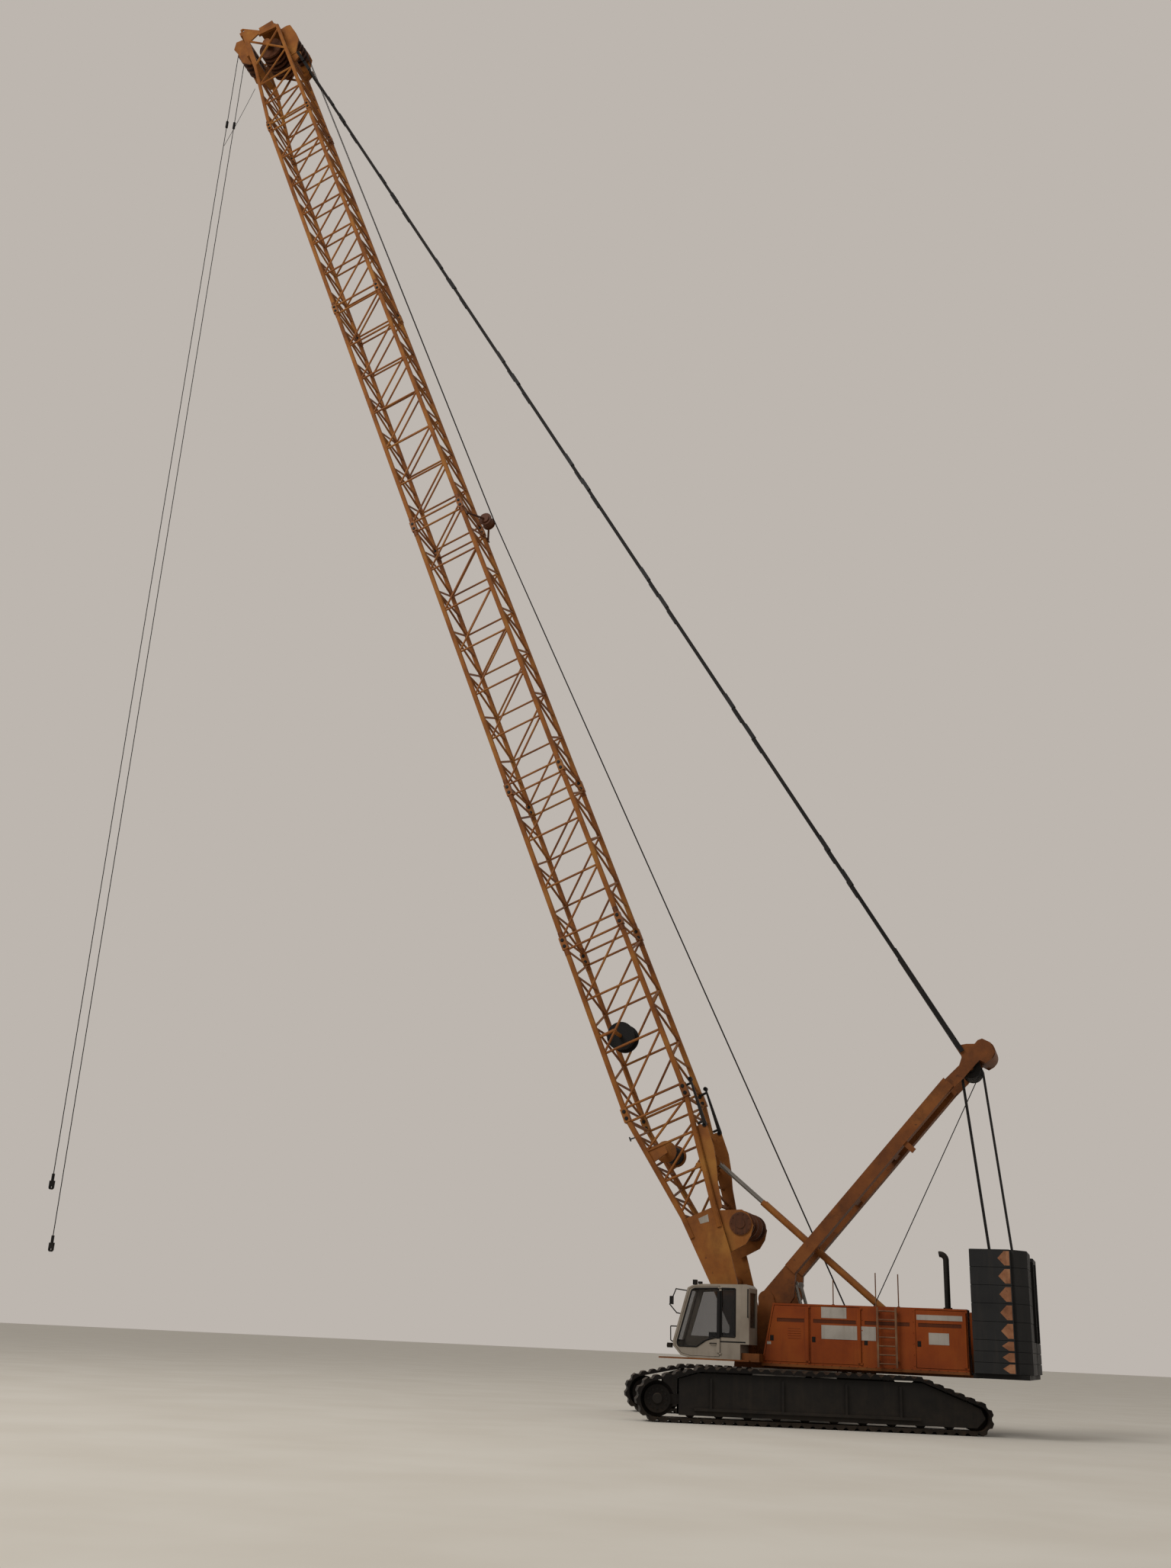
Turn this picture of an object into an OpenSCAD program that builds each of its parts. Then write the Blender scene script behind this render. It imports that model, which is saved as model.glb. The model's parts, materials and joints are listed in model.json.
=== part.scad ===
// Crawler crane with a lattice boom, drawn as a 1:2 scale model, in millimetres.
// Front is -X, the cab side is -Y, up is +Z, and the origin is on the ground at the slewing axis.

/* [Stance] */
// Turn of the crawlers against the upper works
slew_angle = 20; // [0:1:40]
// Boom above level
boom_angle = 67.4; // [64:0.1:72]
// Mast above level, leaning back
mast_angle = 48.5; // [45:0.1:52]

/* [Crawlers] */
// Length of a track over its shoes
track_length = 4720; // [4500:10:5000]
// Height of a track over its shoes
track_height = 700; // [680:5:705]
// Width of a track shoe
shoe_width = 500; // [440:10:520]
// Distance between the middles of the tracks
track_gauge = 3000; // [2900:10:3200]
// Radius over the shoes at the front wheel
idler_r = 285; // [265:5:300]
// Radius over the shoes at the driven wheel
sprocket_r = 215; // [205:5:240]
// Shoes on a track
shoe_count = 68; // [60:1:72]
// Height of a shoe over its chain
shoe_height = 30; // [20:1:34]
// Thickness of the chain under the shoes
chain_thickness = 30; // [24:1:36]
// Width of the wheels inside a track
track_wheel_width = 150; // [110:5:170]
// Radius of a lower roller
roller_r = 62; // [55:1:66]
// Lower rollers on a track
roller_count = 10; // [7:1:11]
// Width of a crawler frame
crawler_frame_width = 380; // [340:10:400]
// Thickness of a crawler frame's cheek plates
cheek_thickness = 24; // [16:1:30]

/* [Car body] */
// Top of the car body
car_top = 590; // [580:5:600]
// Depth of the car body
car_depth = 300; // [240:10:320]
// Width of a cross beam
beam_width = 400; // [300:10:450]
// Distance of a cross beam from the slewing axis
beam_offset = 640; // [560:10:700]
// Outer radius of the slewing ring
ring_r = 600; // [540:10:640]
// Height of the slewing ring
ring_height = 116; // [110:1:120]

/* [Upper works] */
// Width over the side housings
machine_width = 1650; // [1600:10:1700]
// Rear end of the housings
housing_rear = 2525; // [2480:5:2560]
// Front foot of the housings
housing_front = -300; // [-320:5:-280]
// Slope of the housing's front edge, from foot to top
housing_slant = 160; // [120:5:180]
// Height of the housings
housing_height = 795; // [760:5:820]
// Depth of a housing from its outer wall to the middle channel
housing_depth = 375; // [330:5:385]
// Thickness of the housing's sheet
sheet = 16; // [10:1:20]
// Thickness of a housing door
door_thickness = 16; // [10:1:16]
// Gap round a door
door_gap = 6; // [5:0.5:8]
// Thickness of the deck plate
deck_thickness = 35; // [34:1:38]
// Thickness of the deck's side wings
wing_thickness = 34; // [30:1:36]
// Half the width of the deck plate
deck_half = 560; // [550:5:570]

/* [Cab] */
// Length of the cab
cab_length = 1090; // [1050:5:1120]
// Width of the cab
cab_width = 520; // [500:5:530]
// Height of the cab
cab_height = 990; // [960:5:1020]
// Front of the cab from the slewing axis
cab_front = -1490; // [-1520:5:-1480]
// Outer side of the cab from the middle
cab_side = 1170; // [1165:1:1180]
// Thickness of the cab's walls
cab_wall = 26; // [20:1:30]
// Thickness of the panes
pane = 6; // [4:1:8]
// Length of the cab door
cab_door_length = 665; // [640:5:680]

/* [Ballast] */
// Front of the slabs from the slewing axis
slab_front = 2635; // [2625:5:2655]
// Length of a slab
slab_length = 730; // [700:5:745]
// Outer side of the slabs from the middle
slab_side = 1375; // [1300:5:1400]
// Gap between the two upper stacks, from the middle
slab_inner = 375; // [340:5:390]
// Thickness of an upper slab
thick_slab = 227; // [218:1:236]
// Upper slabs in a stack
thick_count = 5; // [3:1:5]
// Thickness of a lower slab
thin_slab = 138; // [130:1:146]
// Lower slabs in a stack
thin_count = 3; // [3:1:3]
// Thickness of the tray under the slabs
tray_thickness = 60; // [40:1:60]

/* [Boom] */
// Foot pin ahead of the slewing axis
foot_x = -625; // [-640:5:-615]
// Foot pin above the ground
foot_z = 1055; // [1040:5:1065]
// Width of the boom between chord middles
boom_width = 1060; // [1050:2:1070]
// Depth of the boom between chord middles
boom_depth = 1000; // [960:5:1040]
// Radius of a chord
chord_r = 44; // [38:1:48]
// Radius of a brace
brace_r = 20; // [15:1:24]
// Length of the foot section
foot_section = 3650; // [3600:10:3700]
// Length of a short section
short_section = 3000; // [2900:20:3100]
// Length of a long section
long_section = 6000; // [5800:20:6100]
// Length of the head
head_length = 3555; // [3520:5:3600]
// Bays in a long section
long_bays = 6; // [5:1:8]
// Radius of the foot pins
foot_pin_r = 50; // [44:1:54]
// Radius of the head's rope sheaves
head_sheave_r = 200; // [180:5:210]

/* [Mast] */
// Mast foot pin from the slewing axis
mast_x = -335; // [-345:5:-325]
// Mast foot pin above the ground
mast_z = 1635; // [1600:5:1650]
// Length of the mast from pin to head
mast_length = 4750; // [4700:10:4800]
// Distance of a mast leg from the middle
leg_offset = 290; // [286:1:296]
// Width of a mast leg
leg_width = 170; // [150:2:176]
// Depth of a mast leg
leg_depth = 180; // [165:5:190]

/* [Mast jacks] */
// Lower pin of the mast jacks from the slewing axis
jack_x = 330; // [320:5:345]
// Lower pin of the mast jacks above the ground
jack_z = 900; // [890:5:915]
// Distance of the jack rod's eye from the lower pin
jack_reach = 995; // [990:1:1000]
// Outer radius of a jack's tube
jack_tube_r = 38; // [34:1:42]
// Radius of a jack's rod
jack_rod_r = 24; // [20:1:27]

/* [Backstops] */
// Lower pin of the backstops from the slewing axis
stop_x = 1666; // [1650:5:1680]
// Lower pin of the backstops above the ground
stop_z = 1245; // [1235:5:1255]
// Distance of the rod's eye from the lower pin
stop_reach = 3647; // [3640:1:3655]
// Length of a backstop tube
stop_tube_length = 2750; // [2650:10:2800]
// Outer radius of a backstop tube
stop_tube_r = 45; // [40:1:46]
// Outer radius of a backstop rod
stop_rod_r = 28; // [24:1:30]

/* [Ropes] */
// Radius of a hoist rope
rope_r = 8; // [6:1:10]
// Lower end of the longer hoist rope above the ground
rope_low = 2050; // [1950:10:2200]
// Radius of a stay bar
stay_r = 24; // [18:1:28]
// Radius of the hole in a rope socket
socket_hole_r = 25; // [20:1:28]

/* [Hidden] */
$fn = 48;

orange = "#B5601F";
ochre = "#A8672A";
dark = "#2B2D2E";
grey = "#4A4B4C";
cream = "#C9C3B4";
pale = "#9A9A92";

run_gap = 0.5;
seat_gap = 0.3;

// Heights that the pieces share
deck_z = car_top + ring_height + run_gap;
deck_top = deck_z + deck_thickness;
wing_top = deck_top + wing_thickness;
housing_top = wing_top + housing_height;
half_width = machine_width / 2;
channel_half = half_width - housing_depth;

// Places along the boom from its foot pin
lower_short_s = foot_section;
upper_short_s = lower_short_s + short_section;
lower_long_s = upper_short_s + short_section;
middle_long_s = lower_long_s + long_section;
upper_long_s = middle_long_s + long_section;
head_s = upper_long_s + long_section;
tip_s = head_s + head_length;

// Helpers

// A plate across the machine, from an outline in X and Z
module side_plate(points, y0, y1) {
    translate([0, y1, 0]) rotate([90, 0, 0]) linear_extrude(y1 - y0) polygon(points);
}

// A round bar across the machine
module cross_bar(x, z, r, y0, y1, sides = 48) {
    translate([x, y1, z]) rotate([90, 0, 0]) cylinder(r = r, h = y1 - y0, $fn = sides);
}

// A box from its lowest to its highest corner
module block(low, high) {
    translate(low) cube(high - low);
}

// A straight tube between two points
module strut(p, q, r, sides = 6) {
    d = q - p;
    translate(p) rotate([0, acos(d[2] / norm(d)), atan2(d[1], d[0])])
        cylinder(r = r, h = norm(d), $fn = sides);
}

module both_sides() {
    children();
    mirror([0, 1, 0]) children();
}

// An outline moved inwards by a distance
function inset(p, m) = [for (i = [0:len(p) - 1])
    let(a = p[(i + len(p) - 1) % len(p)], b = p[i], c = p[(i + 1) % len(p)],
        e1 = (b - a) / norm(b - a), e2 = (c - b) / norm(c - b),
        n1 = [-e1[1], e1[0]], n2 = [-e2[1], e2[0]])
    b + m * (n1 + n2) / (1 + n1 * n2)];

// Boom frame: X along the boom from its foot pin, Z towards its back, Y to the cab side
module boom_frame() {
    translate([foot_x, 0, foot_z]) rotate([0, boom_angle, 0]) rotate([0, 0, 180]) children();
}

// Mast frame: X along the mast from its foot pin, Z towards the boom
module mast_frame() {
    translate([mast_x, 0, mast_z]) rotate([0, -mast_angle, 0]) children();
}

// Crawlers, drawn along X and then turned under the upper works

module crawler_place() {
    rotate([0, 0, slew_angle]) children();
}

// Wheels that the track runs round: X, Z and radius of the chain's outer face, anticlockwise
carrier_r = 120;
carrier_front_x = -1480;
carrier_rear_x = 1400;
function track_ring() = [
    [track_length / 2 - sprocket_r, sprocket_r, sprocket_r - shoe_height],
    [carrier_rear_x, track_height - carrier_r, carrier_r - shoe_height],
    [carrier_front_x, track_height - carrier_r, carrier_r - shoe_height],
    [-track_length / 2 + idler_r, idler_r, idler_r - shoe_height]];

// The straight run after wheel i: length, and angle of its outward normal
function run_vector(i) = let(w = track_ring(), a = w[i % 4], b = w[(i + 1) % 4]) [b[0] - a[0], b[1] - a[1], a[2] - b[2]];
function run_length(i) = let(v = run_vector(i)) sqrt(v[0] * v[0] + v[1] * v[1] - v[2] * v[2]);
function run_normal(i) = let(v = run_vector(i)) atan2(-v[0], v[1]) + asin(v[2] / norm([v[0], v[1]]));
function turn_angle(i) = let(t = run_normal(i) - run_normal(i + 3)) t < 0 ? t + 360 : t % 360;
function arc_length(i) = track_ring()[i][2] * turn_angle(i) * PI / 180;
track_lengths = [for (i = [0:3]) each [arc_length(i), run_length(i)]];
function lengths_to(n) = n == 0 ? 0 : lengths_to(n - 1) + track_lengths[n - 1];
track_path = lengths_to(8);

// Point at length t along the chain, moved outwards
function track_point(t, out, n = 0) =
    (t > track_lengths[n] && n < 7) ? track_point(t - track_lengths[n], out, n + 1) :
    let(i = floor(n / 2), w = track_ring()[i], on_arc = n % 2 == 0,
        angle = on_arc ? run_normal(i + 3) + t / w[2] * 180 / PI : run_normal(i),
        along = on_arc ? 0 : t)
    [w[0] + (w[2] + out) * cos(angle) - along * sin(angle),
     w[1] + (w[2] + out) * sin(angle) + along * cos(angle)];

shoe_pitch = track_path / shoe_count;
shoe_gap = shoe_pitch * 0.22;
shoe_bevel = shoe_height;

module track_loop(side) {
    color(dark) crawler_place() translate([0, side * track_gauge / 2, 0]) {
        outer = [for (k = [0:shoe_count - 1]) let(a = k * shoe_pitch + shoe_gap / 2, b = (k + 1) * shoe_pitch - shoe_gap / 2)
            each [track_point(a, 0), track_point(a + shoe_bevel, shoe_height),
                  track_point(b - shoe_bevel, shoe_height), track_point(b, 0)]];
        inner = [for (i = [0:3]) let(m = ceil(turn_angle(i) / 5)) for (k = [0:m])
            track_point(lengths_to(2 * i) + k * arc_length(i) / m * 0.9999, -chain_thickness)];
        translate([0, shoe_width / 2, 0]) rotate([90, 0, 0]) linear_extrude(shoe_width)
            difference() {
                polygon(outer);
                polygon(inner);
            }
    }
}

track_inside = shoe_height + chain_thickness;
frame_low = 96;
frame_front_x = -track_length / 2 + 2 * idler_r;
frame_top = track_height - track_inside - 22;

// Outline of a crawler frame, clear of the chain all round
function crawler_outline(front) = [
    [front, frame_low],
    [track_length / 2 - sprocket_r, frame_low],
    [track_length / 2 - track_inside - 40, sprocket_r],
    [track_length / 2 - sprocket_r + 60, 330],
    [carrier_rear_x + 40, frame_top],
    [front + 260, frame_top],
    [front, frame_top - 80]];

idler_wheel_r = idler_r - track_inside - 2 * seat_gap;
sprocket_wheel_r = sprocket_r - track_inside - 2 * seat_gap;
idler_x = -track_length / 2 + idler_r;
sprocket_x = track_length / 2 - sprocket_r;
roller_z = track_inside + roller_r + seat_gap;
roller_first_x = frame_front_x + 160;
roller_last_x = sprocket_x - 330;
wheel_half = track_wheel_width / 2;
web_low = roller_z + roller_r + 20;
rib_out = 34;

module crawler_frame() {
    outer = crawler_frame_width / 2;
    inner_half = outer - cheek_thickness;
    // Cheek plates on both sides
    for (s = [-1, 1]) translate([0, s * (outer - cheek_thickness / 2), 0])
        side_plate(crawler_outline(frame_front_x), -cheek_thickness / 2, cheek_thickness / 2);
    // Box between the cheeks, over the rollers
    block([frame_front_x + 40, -inner_half, web_low], [sprocket_x - 360, inner_half, frame_top - 130]);
    // Arms that hold the front wheel
    for (s = [-1, 1]) translate([0, s * (wheel_half + 21), 0])
        block([idler_x - 60, -20, idler_r - 60], [frame_front_x + 60, 20, idler_r + 60]);
    // Ribs and step ledge on the outer cheek
    for (x = [frame_front_x + 420, -420, 420, carrier_rear_x - 260])
        block([x - 14, -outer - rib_out, frame_low + 90], [x + 14, 1 - outer, frame_top - 60]);
    block([frame_front_x + 200, -outer - rib_out, frame_low + 60], [carrier_rear_x, 1 - outer, frame_low + 92]);
}

module crawler_frames() {
    color(grey) crawler_place() both_sides() translate([0, -track_gauge / 2, 0]) crawler_frame();
}

module track_wheel_set() {
    inner_half = crawler_frame_width / 2 - cheek_thickness;
    arm_outside = wheel_half + 41;
    // Front wheel between its arms, with the hub discs outside them
    cross_bar(idler_x, idler_r, idler_wheel_r, -wheel_half, wheel_half);
    for (s = [-1, 1]) translate([0, s * (arm_outside + 30 + seat_gap), 0])
        cross_bar(idler_x, idler_r, 175, -30, 30);
    // Driven wheel on its gear hub between the cheeks
    cross_bar(sprocket_x, sprocket_r, sprocket_wheel_r, -wheel_half, wheel_half);
    cross_bar(sprocket_x, sprocket_r, 95, -inner_half + seat_gap, inner_half - seat_gap);
    // Lower rollers on their axles
    for (k = [0:roller_count - 1]) {
        x = roller_first_x + k * (roller_last_x - roller_first_x) / (roller_count - 1);
        cross_bar(x, roller_z, roller_r, -wheel_half, wheel_half, 32);
        cross_bar(x, roller_z, roller_r * 0.5, -inner_half + seat_gap, inner_half - seat_gap, 24);
    }
    // Upper carrier rollers
    for (x = [carrier_front_x, (carrier_front_x + carrier_rear_x) / 2, carrier_rear_x]) {
        r = 46;
        z = track_height - track_inside - r - seat_gap;
        cross_bar(x, z, r, -wheel_half, wheel_half, 32);
        cross_bar(x, z, r * 0.5, -inner_half + seat_gap, inner_half - seat_gap, 24);
    }
}

module track_wheels() {
    color(dark) crawler_place() both_sides() translate([0, -track_gauge / 2, 0]) track_wheel_set();
}

module car_body() {
    reach = track_gauge / 2 - crawler_frame_width / 2 - seat_gap;
    color(grey) crawler_place() {
        difference() {
            translate([0, 0, car_top - car_depth]) cylinder(r = ring_r + 240, h = car_depth, $fn = 8);
            translate([0, 0, car_top - car_depth - 1]) cylinder(r = ring_r - 220, h = car_depth + 2);
        }
        for (x = [-beam_offset, beam_offset])
            block([x - beam_width / 2, -reach, car_top - car_depth], [x + beam_width / 2, reach, car_top - 60]);
    }
}

module slewing_ring() {
    color(pale) translate([0, 0, car_top + seat_gap]) difference() {
        cylinder(r = ring_r, h = ring_height - seat_gap);
        translate([0, 0, -1]) cylinder(r = ring_r - 130, h = ring_height + 2);
    }
}

// Upper works

// Pairs of ears: inner face of the inner ear and outer face of the outer ear, from the middle
foot_lug_y = 475;
foot_lug_width = 80;
ear = 35;
side_gap = 5;

module ear_pair(x, z, r, middle, lug, base_x0, base_x1, base_z) {
    for (y = [middle - lug / 2 - side_gap - ear, middle + lug / 2 + side_gap]) {
        side_plate([[base_x0, base_z], [base_x1, base_z], [x + r * 0.9, z + r * 0.3], [x - r * 0.9, z + r * 0.3]], y, y + ear);
        cross_bar(x, z, r, y, y + ear);
    }
}

mast_ear_r = 115;
foot_ear_r = 105;
deck_front = foot_x - 130;
deck_rear = slab_front - 20;

module deck_frame() {
    color(ochre) {
        block([deck_front, -deck_half, deck_z], [deck_rear, deck_half, deck_top]);
        block([housing_front, -half_width, deck_top - 1], [housing_rear, half_width, wing_top]);
        both_sides() {
            // Girder along the channel
            block([mast_x + 200, channel_half - 60, wing_top - 1], [housing_rear, channel_half - 10, wing_top + 230]);
            // Ears and pins of the boom foot
            ear_pair(foot_x, foot_z, foot_ear_r, foot_lug_y, foot_lug_width, deck_front, foot_x + 260, deck_top - 1);
            cross_bar(foot_x, foot_z, foot_pin_r, foot_lug_y - foot_lug_width / 2 - side_gap - ear, foot_lug_y + foot_lug_width / 2 + side_gap + ear);
            // Ears and pins of the mast foot
            ear_pair(mast_x, mast_z, mast_ear_r, leg_offset, mast_lug, mast_x - 180, mast_x + 420, deck_top - 1);
            cross_bar(mast_x, mast_z, mast_pin_r, leg_offset - mast_lug / 2 - side_gap - ear, leg_offset + mast_lug / 2 + side_gap + ear);
            // Ears and pins of the backstops
            ear_pair(stop_x, stop_z, 70, stop_offset, stop_lug, stop_x - 160, stop_x + 160, deck_top - 1);
            cross_bar(stop_x, stop_z, stop_pin_r, stop_offset - stop_lug / 2 - side_gap - ear, stop_offset + stop_lug / 2 + side_gap + ear);
            // Ears and pins of the mast jacks
            ear_pair(jack_x, jack_z, jack_ear_r, jack_offset, jack_lug, jack_x - 90, jack_x + 90, deck_top - 1);
            cross_bar(jack_x, jack_z, jack_pin_r, jack_offset - jack_lug / 2 - side_gap - ear, jack_offset + jack_lug / 2 + side_gap + ear);
        }
    }
}

mast_lug = 90;
mast_pin_r = 40;
stop_offset = 95;
stop_lug = 50;
stop_pin_r = 25;
jack_offset = 205;
jack_lug = 40;
jack_pin_r = 20;
jack_ear_r = 46;

function housing_outline() = [
    [housing_front, wing_top], [housing_rear, wing_top],
    [housing_rear, housing_top], [housing_front + housing_slant, housing_top]];

// Seams between the housing's panels
seams = [375, 1095, 1815];
door_low = wing_top + 30;
door_high = housing_top - 30;
// The housing's slanted front edge at a height
function front_edge(z) = housing_front + housing_slant * (z - wing_top) / housing_height;
// Doors: front edge at the foot, front edge at the top and hinge edge
door_spans = [[front_edge(door_low) + 30, front_edge(door_high) + 30, seams[0] - 20],
    [seams[0] + 20, seams[0] + 20, seams[1] - 20], [seams[2] + 20, seams[2] + 20, housing_rear - 30]];
hinge_out = 14;
hinge_tube_r = 11;
hinge_pin_r = 6;
hinge_clear = 0.05;
hinge_ear = 20;
groove_low = wing_top + 550;
groove_high = wing_top + 600;
groove_depth = 8;
louvre_slats = 5;

// Outline of a door in its plane, made larger by m
function door_outline(d, m) = [[d[0] - m, door_low - m], [d[2] + m, door_low - m], [d[2] + m, door_high + m], [d[1] - m, door_high + m]];

// A shallow recess in the outer face, from the lower front to the upper rear corner
module recess(x0, x1, z0, z1) {
    block([x0, -half_width - 1, z0], [x1, -half_width + groove_depth, z1]);
}

// A latch in its recess, at the recess's lower front corner
latch = [52, 75];
module latch_recess(x, z) {
    difference() {
        recess(x, x + latch[0], z, z + latch[1]);
        block([x + 18, -half_width + 2, z + 14], [x + latch[0] - 18, -half_width + groove_depth + 1, z + latch[1] - 14]);
    }
}

// The cab side housing, with its door pins
module housing() {
    difference() {
        side_plate(housing_outline(), -half_width, -channel_half);
        side_plate([[housing_front + sheet * 1.2, wing_top - 1], [housing_rear - sheet, wing_top - 1],
            [housing_rear - sheet, housing_top - sheet], [housing_front + housing_slant + sheet * 1.2, housing_top - sheet]],
            -half_width + sheet, -channel_half - sheet);
        for (d = door_spans) side_plate(door_outline(d, door_gap), -half_width - 1, -half_width + sheet + 1);
        // Groove and latch of the fixed panel
        recess(seams[1] + 50, seams[2] - 60, groove_low, groove_high);
        latch_recess(seams[1] + 35, wing_top + 285);
    }
    for (d = door_spans) {
        x = d[2] + door_gap;
        y = -half_width - hinge_out;
        translate([x, y, door_low]) cylinder(r = hinge_pin_r, h = door_high - door_low);
        for (z = [door_low, door_high - hinge_ear])
            block([x, y - hinge_pin_r, z], [x + 26, -half_width + 1, z + hinge_ear]);
    }
}

module housing_left() {
    color(orange) housing();
}

module housing_right() {
    color(orange) mirror([0, 1, 0]) housing();
}

// A door with its hinge tube, closed
module housing_door(n) {
    d = door_spans[n];
    x = d[2] + door_gap;
    y = -half_width - hinge_out;
    low = door_low + hinge_ear + 1;
    high = door_high - hinge_ear - 1;
    difference() {
        union() {
            side_plate(door_outline(d, 0), -half_width, -half_width + door_thickness);
            translate([x, y, low]) cylinder(r = hinge_tube_r, h = high - low);
            block([x - 40, y - 4, low], [x - 6, -half_width + 1, high]);
            // Slats of the front door's louvre
            if (n == 0) for (k = [0:louvre_slats - 1])
                translate([d[2] - 280, -half_width - 6, wing_top + 342 + k * 32]) rotate([-35, 0, 0]) cube([180, 20, 5]);
        }
        translate([x, y, low - 1]) cylinder(r = hinge_pin_r + hinge_clear, h = high - low + 2);
        recess(max(d[0], d[1]) + 35, d[2] - 50, groove_low, groove_high);
        latch_recess(n == 0 ? d[0] + 85 : d[0] + 15, wing_top + 295);
    }
}

module door_left_front() { color(orange) housing_door(0); }
module door_left_middle() { color(orange) housing_door(1); }
module door_left_rear() { color(orange) housing_door(2); }
module door_right_front() { color(orange) mirror([0, 1, 0]) housing_door(0); }
module door_right_middle() { color(orange) mirror([0, 1, 0]) housing_door(1); }
module door_right_rear() { color(orange) mirror([0, 1, 0]) housing_door(2); }

module engine_block() {
    color(grey) block([seams[1] + 60, channel_half + sheet + 20, wing_top], [seams[2] + 460, half_width - sheet - 70, wing_top + 520]);
}

ladder_x = 1330;
ladder_width = 250;
ladder_out = 70;
ladder_bar = 14;
rungs = 7;
// Posts on the roof: place and height
roof_posts = [[710, 330], [1300, 440], [1610, 430]];
roof_post_r = 8;

// Ladder on the cab side housing, with posts along the roof's edge
module roof_ladder() {
    y = -half_width - ladder_out;
    color(pale) {
        for (p = roof_posts) translate([p[0], -half_width + 30, housing_top + seat_gap]) {
            cylinder(r = roof_post_r, h = p[1]);
            cylinder(r = roof_post_r * 2.5, h = 8);
        }
        for (x = [ladder_x, ladder_x + ladder_width]) {
            block([x - ladder_bar, y - ladder_bar, wing_top + 10], [x + ladder_bar, y + ladder_bar, housing_top - 10]);
            for (z = [wing_top + 90, housing_top - 90])
                block([x - ladder_bar, y, z - ladder_bar], [x + ladder_bar, -half_width - seat_gap, z + ladder_bar]);
        }
        for (k = [0:rungs - 1])
            translate([ladder_x, y, wing_top + 60 + k * (housing_height - 120) / (rungs - 1)])
                rotate([0, 90, 0]) cylinder(r = ladder_bar * 0.7, h = ladder_width, $fn = 12);
    }
}

exhaust_x = 2255;
exhaust_y = -620;
exhaust_r = 40;
exhaust_height = 640;
exhaust_bend = 80;

module exhaust_pipe() {
    color(dark) {
        translate([exhaust_x, exhaust_y, housing_top]) cylinder(r = exhaust_r, h = exhaust_height);
        translate([exhaust_x, exhaust_y, housing_top]) cylinder(r = exhaust_r * 1.5, h = 20);
        translate([exhaust_x - exhaust_bend, exhaust_y, housing_top + exhaust_height - 0.01]) rotate([90, 0, 0])
            rotate_extrude(angle = 100) translate([exhaust_bend, 0]) circle(r = exhaust_r);
    }
}

// Cab

cab_bottom = wing_top + 25;
cab_rear = cab_front + cab_length;
cab_inner = cab_side - cab_width;
cab_top_z = cab_bottom + cab_height;
cab_step_x = 125;
cab_step_z = 200;
front_slant = 200;

// The cab's slanted front at a height
function windscreen_x(z) = cab_front + front_slant * (z - cab_bottom - 220) / (cab_height - 285);

// Outline of the cab from its foot at the front, anticlockwise seen from the cab side
function cab_outline() = [
    [cab_front + 240, cab_bottom], [cab_rear - cab_step_x, cab_bottom], [cab_rear - cab_step_x, cab_bottom + cab_step_z], [cab_rear, cab_bottom + cab_step_z],
    [cab_rear, cab_top_z - 45], [cab_rear - 45, cab_top_z], [cab_front + 400, cab_top_z - 10], [cab_front + 260, cab_top_z - 35],
    [cab_front + front_slant, cab_top_z - 65], [cab_front, cab_bottom + 220], [cab_front, cab_bottom + 150], [cab_front + 115, cab_bottom + 30]];

door_edge_x = cab_front + cab_door_length;
// Outline of the cab door, moved inwards by m
function cab_door_outline(m) = inset([
    [cab_front + 250, cab_bottom + 32], [door_edge_x, cab_bottom + 32],
    [door_edge_x, cab_top_z - 36], [cab_front + 300, cab_top_z - 52], [cab_front + 234, cab_top_z - 80],
    [cab_front + 36, cab_bottom + 216], [cab_front + 36, cab_bottom + 158], [cab_front + 128, cab_bottom + 62]], m);
// Outline of the door's window, moved inwards by m
function door_window(m) = inset([
    [cab_front + 90, cab_bottom + 148], [cab_front + 340, cab_bottom + 148], [cab_front + 480, cab_bottom + 240],
    [cab_front + 615, cab_bottom + 280], [door_edge_x - 25, cab_bottom + 280], [door_edge_x - 25, cab_top_z - 62],
    [cab_front + 305, cab_top_z - 74], [cab_front + 262, cab_top_z - 98], [cab_front + 64, cab_bottom + 212], [cab_front + 64, cab_bottom + 174]], m);
function rear_window(m) = inset([
    [door_edge_x + 30, cab_bottom + 295], [cab_rear - 200, cab_bottom + 295],
    [cab_rear - 200, cab_top_z - 62], [door_edge_x + 30, cab_top_z - 62]], m);
function right_window(m) = inset([
    [cab_front + 120, cab_bottom + 295], [cab_rear - 200, cab_bottom + 295],
    [cab_rear - 200, cab_top_z - 62], [cab_front + 300, cab_top_z - 100]], m);

windscreen_margin = 50;

// Cutter for the windscreen: the slanted front between two heights
module windscreen_cut(m) {
    side_plate(inset([[cab_front - 60, cab_bottom + 235], [cab_front + 70, cab_bottom + 235],
        [cab_front + 260, cab_top_z - 95], [cab_front + 100, cab_top_z - 95]], m),
        -cab_side + windscreen_margin + m, -cab_inner - windscreen_margin - m);
}

module rear_window_cut(m) {
    block([cab_rear - 60, -cab_side + 70 + m, cab_bottom + 420 + m], [cab_rear + 60, -cab_inner - 70 - m, cab_top_z - 105 - m]);
}

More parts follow.
